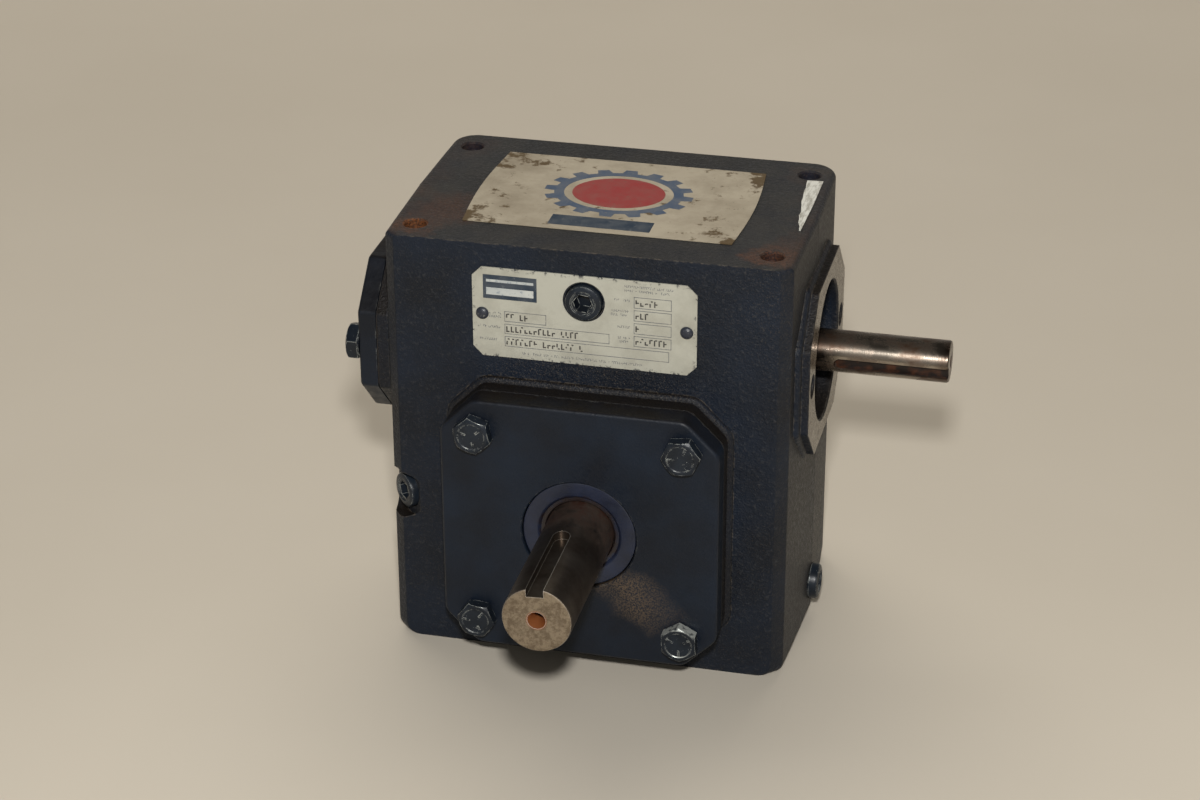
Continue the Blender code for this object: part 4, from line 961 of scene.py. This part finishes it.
def make_seal(node, bore, outer, start, end, axis):
    """A pressed-in lip seal: a flat rim, a rounded shoulder and a dished web down to the lip."""
    profile = [(bore + 0.0003, end - 0.0016), (bore + 0.0007, end - 0.0012), (bore + 0.0020, end - 0.0012),
               (bore + 0.0027, end - 0.0003), (bore + 0.0034, end), (outer - 0.0007, end),
               (outer - 0.0002, end - 0.0002), (outer, end - 0.0007), (outer, start),
               (outer - 0.0012, start), (outer - 0.0012, end - 0.0022), (bore + 0.0003, end - 0.0022)]
    seal = turned(node + "_ring", profile, axis, 96, closed=True)
    settle(seal, "gear_case", MATERIALS["seal"], [node])


def make_seals():
    low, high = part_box("output_oil_seal")
    make_seal("output_oil_seal", OUTPUT_RADIUS, OUTPUT_SEAL_RADIUS, -high.y, -low.y, OUTPUT_AXIS)
    low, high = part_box("input_oil_seal")
    make_seal("input_oil_seal", INPUT_RADIUS, INPUT_SEAL_RADIUS, low.x, high.x, INPUT_AXIS)


# Shafts ----------------------------------

def keyway(size, radius, end, axis, turn):
    """A milled slot from the shaft's end, with a round run-out at its inner end."""
    width, length, depth = size
    points = [(-end - 0.002, -width / 2), (-end - 0.002, width / 2)]
    for step in range(17):
        angle = math.radians(90 - 180 * step / 16)
        points.append((length - end - width / 2 + width / 2 * math.cos(angle),
                       width / 2 * math.sin(angle)))
    stand = Matrix(((0, 0, 1, 0), (0, 1, 0, 0), (-1, 0, 0, 0), (0, 0, 0, 1)))
    sections = [[(x, y, height) for x, y in points] for height in (radius - depth, radius + 0.002)]
    return loft("keyway", sections, axis @ Matrix.Rotation(turn, 4, "Z") @ stand)


def make_output_shaft():
    end = -OUTPUT_END
    front, back = WHEEL_SEAT_ENDS
    profile = [(0.0, end), (OUTPUT_RADIUS - 0.0010, end), (OUTPUT_RADIUS - 0.0003, end - 0.0003),
               (OUTPUT_RADIUS, end - 0.0010), (OUTPUT_RADIUS, 0.0610), (OUTPUT_SEAT, 0.0600),
               (OUTPUT_SEAT, OUTPUT_BEARING), (OUTPUT_SHOULDER, OUTPUT_BEARING),
               (OUTPUT_SHOULDER, front), (WHEEL_SEAT, front), (WHEEL_SEAT, back),
               (WHEEL_SHOULDER, back), (WHEEL_SHOULDER, -OUTPUT_BEARING),
               (OUTPUT_SEAT, -OUTPUT_BEARING), (OUTPUT_SEAT, -0.0590),
               (OUTPUT_SEAT - 0.0008, -0.0598), (0.0, -0.0598)]
    shaft = turned("output_shaft_body", profile, OUTPUT_AXIS)
    centre = turned("centre_hole", [(0.0, end + 0.001), (0.0036, end + 0.001), (0.0032, end - 0.0006),
                                    (0.0017, end - 0.0034), (0.0017, end - 0.008), (0.0, end - 0.009)],
                    OUTPUT_AXIS, 48)
    seat = box("key_seat", *KEY_SEAT)
    seat.data.transform(Matrix.Translation(OUTPUT))
    slot = keyway(OUTPUT_KEYWAY, OUTPUT_RADIUS, end, OUTPUT_AXIS, OUTPUT_KEYWAY_TURN)
    cut(shaft, centre, slot, seat)
    settle(shaft, "output_train", MATERIALS["output_shaft"], ["output_shaft"])


def worm_section(height):
    """The worm's cross-section, turned to where its threads are at this height."""
    half = AXIAL_PITCH / 4 - THINNING
    slope = math.tan(PRESSURE_ANGLE)
    root, tip = [(half - rise * slope, WORM_PITCH_RADIUS + rise) for rise in (-1.2 * MODULE, MODULE)]
    tooth = [(-root[0], root[1]), (-tip[0], tip[1]), tip, root]
    points = []
    for start in range(STARTS):
        middle = (start + 0.5) * AXIAL_PITCH
        for distance, radius in tooth:
            turn = (height - OUTPUT.x - middle - distance) / LEAD * 2 * math.pi + math.pi * 1.5
            points.append((height, radius * math.cos(turn), INPUT.z + radius * math.sin(turn)))
    return points


def make_worm_shaft():
    low, high = OUTPUT.x - WORM_LENGTH / 2, OUTPUT.x + WORM_LENGTH / 2
    thread = loft("worm_thread", [worm_section(low + WORM_LENGTH * i / WORM_STEPS)
                                  for i in range(WORM_STEPS + 1)])
    end = INPUT_END
    core = WORM_PITCH_RADIUS - 1.2 * MODULE - 0.0009
    profile = [(0.0, end), (0.0072, end), (0.0077, end - 0.0002), (INPUT_RADIUS, end - 0.0008),
               (INPUT_RADIUS, 0.0565), (INPUT_SEAT, 0.0565), (INPUT_SEAT, 0.0397),
               (INPUT_SHOULDER, 0.0397), (INPUT_SHOULDER, high + 0.004), (core, high),
               (core, low), (INPUT_SHOULDER, low - 0.004), (INPUT_SHOULDER, -0.0367),
               (INPUT_SEAT, -0.0367), (INPUT_SEAT, INPUT_START + 0.001),
               (INPUT_SEAT - 0.001, INPUT_START), (0.0, INPUT_START)]
    shaft = turned("worm_shaft_body", profile, INPUT_AXIS)
    join(shaft, thread)
    centre = turned("centre_hole", [(0.0, end + 0.001), (0.0026, end + 0.001), (0.0022, end - 0.0008),
                                    (0.0011, end - 0.0022), (0.0011, end - 0.005), (0.0, end - 0.0055)],
                    INPUT_AXIS, 32)
    slot = keyway(INPUT_KEYWAY, INPUT_RADIUS, end, INPUT_AXIS, INPUT_KEYWAY_TURN)
    cut(shaft, centre, slot)
    settle(shaft, "input_train", MATERIALS["input_shaft"], ["worm_shaft"])


# Nameplate and labels --------------------

def sheet(name, points, start, end, matrix, holes=()):
    """A thin flat sheet, with round holes given as (x, y, radius)."""
    made = loft(name, [[(x, y, start) for x, y in points], [(x, y, end) for x, y in points]], matrix)
    cutters = []
    for x, y, radius in holes:
        cutters.append(rod("sheet_hole", radius, start - 0.001, end + 0.001,
                           matrix @ Matrix.Translation((x, y, 0)), 48))
    if cutters:
        cut(made, *cutters)
    return made


def bars(name, rectangles, start, end, matrix):
    """Printed marks: thin slabs given as (left, low, right, high)."""
    body = bmesh.new()
    for left, low, right, high in rectangles:
        place = Matrix.Translation(((left + right) / 2, (low + high) / 2, (start + end) / 2))
        size = Matrix.Diagonal((right - left, high - low, end - start, 1))
        bmesh.ops.create_cube(body, size=1, matrix=place @ size)
    return from_bmesh(name, body, matrix)


def stamp(name, rectangles, start, end, matrix, look):
    """Marks that ride on the case."""
    settle(bars(name, rectangles, start, end, matrix), "gear_case", MATERIALS[look])


def frame_bars(left, low, right, high, width=0.00022):
    """The four lines round a printed field."""
    return [(left, low, right, low + width), (left, high - width, right, high),
            (left, low, left + width, high), (right - width, low, right, high)]


def mark_row(pen, left, right, low, height):
    """A row of thin unreadable strokes, like small print seen from afar."""
    marks = []
    x = left
    while x < right - height * 0.6:
        if pen.random() > 0.14:
            foot = low + height * pen.choice((0.0, 0.0, 0.35))
            top = low + height * pen.choice((0.6, 1.0, 1.0))
            marks.append((x, foot, x + height * 0.22, top))
            level = low + height * pen.choice((0.0, 0.42, 0.87))
            marks.append((x + height * 0.22, level, x + height * 0.54, level + height * 0.22))
        x += height * 0.74
    return marks


NAMEPLATE_FIELDS = ((-0.0296, 0.1375, -0.0140, 0.1416), (-0.0296, 0.1326, 0.0094, 0.1366),
                    (-0.0296, 0.1276, 0.0314, 0.1317), (0.0184, 0.1478, 0.0322, 0.1522),
                    (0.0184, 0.1427, 0.0322, 0.1470), (0.0184, 0.1376, 0.0322, 0.1419),
                    (0.0184, 0.1326, 0.0322, 0.1368))
NAMEPLATE_ENTRIES = ((-0.0290, -0.0205, 0.1383), (-0.0290, -0.0010, 0.1334),
                     (-0.0290, 0.0000, 0.1284), (0.0190, 0.0290, 0.1487),
                     (0.0190, 0.0246, 0.1436), (0.0190, 0.0206, 0.1385), (0.0190, 0.0312, 0.1335))
NAMEPLATE_CAPTIONS = ((0.0150, 0.0330, 0.1556), (0.0150, 0.0330, 0.1540), (0.0112, 0.0174, 0.1500),
                      (0.0100, 0.0174, 0.1458), (0.0100, 0.0160, 0.1443), (0.0118, 0.0174, 0.1396),
                      (0.0126, 0.0174, 0.1352), (0.0126, 0.0170, 0.1338),
                      (-0.0372, -0.0306, 0.1402), (-0.0360, -0.0306, 0.1388),
                      (-0.0396, -0.0306, 0.1346), (-0.0396, -0.0306, 0.1296),
                      (-0.0230, 0.0220, 0.1250))
NAMEPLATE_BLOCK = ((-0.0374, 0.1462, -0.0174, 0.1556),)
BLOCK_STRIPES = ((-0.0362, 0.1528, -0.0186, 0.1538), (-0.0362, 0.1478, -0.0186, 0.1506))


def nameplate_rows(pen, rows, height):
    marks = []
    for left, right, low in rows:
        marks += mark_row(pen, left, right, low, height)
    return marks


def make_nameplate():
    low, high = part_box("nameplate")
    middle = (low.z + high.z) / 2
    back, face = -high.y, -low.y
    shape = outline((high.x - low.x) / 2, (high.z - low.z) / 2, 0.0036, 0.0003, 0.0, 2)
    fill = FILL_PLUG.translation
    holes = [(fill.x, fill.z, 0.0078)]
    for node in ("drive_screw_left", "drive_screw_right"):
        spot = outer_face(node, TO_FRONT).translation
        holes.append((spot.x, spot.z, DRIVE_SCREW_HOLE))
    plate = sheet("nameplate_sheet", [(x, middle + z) for x, z in shape], back, face, TO_FRONT, holes)
    settle(plate, "gear_case", MATERIALS["nameplate"], ["nameplate"])
    pen = random.Random(5)
    entries = nameplate_rows(pen, NAMEPLATE_ENTRIES, 0.0023)
    captions = nameplate_rows(pen, NAMEPLATE_CAPTIONS, 0.0009)
    frames = [line for field in NAMEPLATE_FIELDS for line in frame_bars(*field)]
    under, lift = face - 0.0001, face + 0.00004
    for name, marks, low, high, look in (
            ("nameplate_block", NAMEPLATE_BLOCK, under, lift, "navy_ink"),
            ("nameplate_fields", frames + captions, under, lift, "grey_ink"),
            ("nameplate_marks", entries, under, lift, "stamp_ink"),
            ("nameplate_block_stripes", BLOCK_STRIPES, lift, lift + 0.00004, "pale_ink")):
        stamp(name, marks, low, high, TO_FRONT, look)


LABEL_HALF_WIDTH = 0.0500
PRINT_DEPTH = 0.00005


def make_top_label():
    low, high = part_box("top_label")
    bow = (high.x - low.x) / 2 - LABEL_HALF_WIDTH
    right = []
    for step in range(25):
        share = step / 24
        right.append((LABEL_HALF_WIDTH + bow * math.sin(math.pi * share),
                      low.y + (high.y - low.y) * share))
    left = [(-x, y) for x, y in reversed(right)]
    face = high.z - PRINT_DEPTH
    label = sheet("top_label_sheet", right + left, low.z, face, UP)
    settle(label, "gear_case", MATERIALS["label"], ["top_label"])
    make_emblem(face)


def emblem_piece(name, points, low, high):
    """A flat piece of the emblem: (x, y) points about its middle, stretched sideways."""
    return loft(name, [[(x * 1.25, 0.0045 + y, z) for x, y in points] for z in (low, high)])


def make_emblem(face):
    """A plain cog round a disc, over a plain bar: a generic device with no lettering."""
    under, lift = face - 0.0001, face + PRINT_DEPTH
    teeth = 16
    ring = []
    for i in range(teeth):
        for share, radius in ((-0.30, 0.0195), (-0.20, 0.0225), (0.20, 0.0225), (0.30, 0.0195)):
            angle = 2 * math.pi * (i + share) / teeth
            ring.append((radius * math.cos(angle), radius * math.sin(angle)))
    cog = emblem_piece("emblem_cog", ring, under, lift)
    cut(cog, emblem_piece("emblem_hole", regular_polygon(0.0165, 64), face - 0.001, face + 0.001))
    disc = emblem_piece("emblem_disc", regular_polygon(0.0140, 64), under, lift)
    settle(cog, "gear_case", MATERIALS["blue_ink"])
    settle(disc, "gear_case", MATERIALS["red_ink"])
    stamp("emblem_bar", [(-0.0190, -0.0290, 0.0190, -0.0200)], under, lift, UP, "navy_ink")


def make_torn_label():
    low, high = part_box("torn_label")
    pen = random.Random(11)
    outer = [(0.0718, -0.0145), (0.0723, 0.0100), (0.0722, 0.0330)]
    inner = []
    for share in [step / 14 for step in range(15)]:
        x = 0.0662 + (0.0710 - 0.0662) * share ** 1.4
        y = 0.0325 - 0.0470 * share
        inner.append((x + pen.uniform(-0.0004, 0.0004), y))
    torn = sheet("torn_label_sheet", outer + inner, low.z, high.z, UP)
    settle(torn, "gear_case", MATERIALS["torn"], ["torn_label"])


# Everything ------------------------------

INKS = {
    "navy_ink": ((0.010, 0.024, 0.045), (0.11, 0.12, 0.13), 0.08),
    "blue_ink": ((0.040, 0.068, 0.120), (0.16, 0.16, 0.15), 0.08),
    "red_ink": ((0.250, 0.018, 0.018), (0.20, 0.09, 0.07), 0.08),
    "grey_ink": ((0.100, 0.110, 0.130), (0.24, 0.23, 0.20), 0.04),
    "stamp_ink": ((0.028, 0.028, 0.028), (0.12, 0.11, 0.10), 0.12),
    "pale_ink": ((0.480, 0.500, 0.480), (0.20, 0.24, 0.28), 0.06),
}


def build_materials():
    made = {
        "housing": housing_paint(), "cover": cover_paint(), "bolt": bolt_paint(),
        "output_shaft": output_shaft_steel(), "input_shaft": input_shaft_steel(), "seal": seal_paint(),
        "nameplate": nameplate_foil(), "label": label_film(), "torn": torn_film(),
        "gasket": two_tone("gasket_sheet", ((0.012, 0.010, 0.010), (0.022, 0.016, 0.012)), 700,
                           (0.8, 0.8), 0.0, (1500, 3, 0.00005, 0.4)),
        "bearing": two_tone("bearing_steel", ((0.62, 0.61, 0.59), (0.45, 0.43, 0.39)), 150,
                            (0.14, 0.26), 1.0, (2500, 2, 0.00001, 0.3)),
        "hub": two_tone("cast_iron_hub", ((0.17, 0.165, 0.16), (0.09, 0.085, 0.08)), 300,
                        (0.45, 0.65), 0.85, (1400, 4, 0.00008, 0.5)),
        "bronze": wheel_bronze(), "drive_screw": drive_screw_steel(),
    }
    for name, (colour, worn_to, wear) in INKS.items():
        made[name] = ink(name, colour, worn_to, wear)
    return made


def dress_hidden_pieces():
    """Gives the gaskets and the inner works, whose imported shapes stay, their materials."""
    looks = {"gasket": "gasket", "bearing": "bearing", "rim": "bronze", "hub": "hub",
             "key": "input_shaft"}
    for name, obj in frame["nodes"].items():
        for word, look in looks.items():
            if word in name:
                obj.data.materials.clear()
                obj.data.materials.append(MATERIALS[look])
                break


def make_floor():
    body = bmesh.new()
    bmesh.ops.create_grid(body, x_segments=1, y_segments=1, size=6)
    floor = from_bmesh("floor", body)
    g = Graph("floor_cloth")
    tone = g.mix(g.fade(g.noise(3, 4), 0.35, 0.65), (0.515, 0.470, 0.395), (0.540, 0.495, 0.420))
    floor.data.materials.append(g.finish(tone, 0.9, 0.0))


def make_light(name, place, target, size, power, colour, reflected=True):
    light = bpy.data.lights.new(name, "AREA")
    light.size = size
    light.energy = power
    light.color = colour
    obj = add_object(name, light)
    obj.location = place
    obj.rotation_euler = (Vector(target) - Vector(place)).to_track_quat("-Z", "Y").to_euler()
    obj.visible_glossy = reflected


def make_lights():
    """A small flash above the camera, a wide soft light, and a dim room that fades upwards."""
    middle = (0, 0, 0.08)
    make_light("flash", (0.211, -0.903, 0.697), middle, 0.06, 10, (1.0, 0.985, 0.96))
    make_light("ceiling", (-0.8, 2.4, 2.5), middle, 4.0, 112, (1.0, 0.94, 0.85), reflected=False)
    world = bpy.data.worlds.new("room")
    world.use_nodes = True
    tree = world.node_tree
    height = tree.nodes.new("ShaderNodeSeparateXYZ")
    tree.links.new(tree.nodes.new("ShaderNodeTexCoord").outputs["Generated"], height.inputs[0])
    fall = tree.nodes.new("ShaderNodeMapRange")
    tree.links.new(height.outputs["Z"], fall.inputs["Value"])
    for key, value in (("From Min", 0.05), ("From Max", 0.75), ("To Min", 0.40), ("To Max", 0.06)):
        fall.inputs[key].default_value = value
    tree.links.new(fall.outputs["Result"], tree.nodes["Background"].inputs["Strength"])
    tree.nodes["Background"].inputs["Color"].default_value = (1.0, 0.955, 0.885, 1)
    bpy.context.scene.world = world


def make_camera():
    """The photo's camera, its place and directions worked out from the photo."""
    camera = bpy.data.cameras.new("camera")
    camera.lens = 86.3
    camera.sensor_width = 36
    camera.clip_start = 0.01
    obj = add_object("camera", camera)
    right = Vector((0.97272, 0.23196, -0.00297))
    up = Vector((-0.10187, 0.43863, 0.89288))
    back = Vector((0.2084, -0.8682, 0.4503))
    turn = Matrix((right, up, back)).transposed().to_4x4()
    obj.matrix_world = Matrix.Translation((0.2240, -0.9598, 0.5810)) @ turn
    bpy.context.scene.camera = obj


MATERIALS = build_materials()
make_camera()
make_lights()
make_floor()
make_housing()
make_cover("front_cover", -1, through=True)
make_cover("rear_cover", 1, through=False)
make_end_cap()
for number, turn in enumerate(BOLT_TURNS, 1):
    make_bolt(f"front_cover_bolt_{number}", TO_FRONT, turn)
    make_bolt(f"rear_cover_bolt_{number}", TO_BACK, turn)
for number in (1, 2):
    make_bolt(f"end_cap_bolt_{number}", TO_LEFT, 0.35)
make_plug("fill_plug", FILL_PLUG, 0.0130)
make_plug("drain_plug", DRAIN_PLUG, 0.0130)
make_plug("level_plug", LEVEL_PLUG, 0.0090)
make_drive_screw("drive_screw_left")
make_drive_screw("drive_screw_right")
make_seals()
make_output_shaft()
make_worm_shaft()
make_nameplate()
make_top_label()
make_torn_label()
dress_hidden_pieces()

bpy.context.scene.view_settings.view_transform = "Standard"
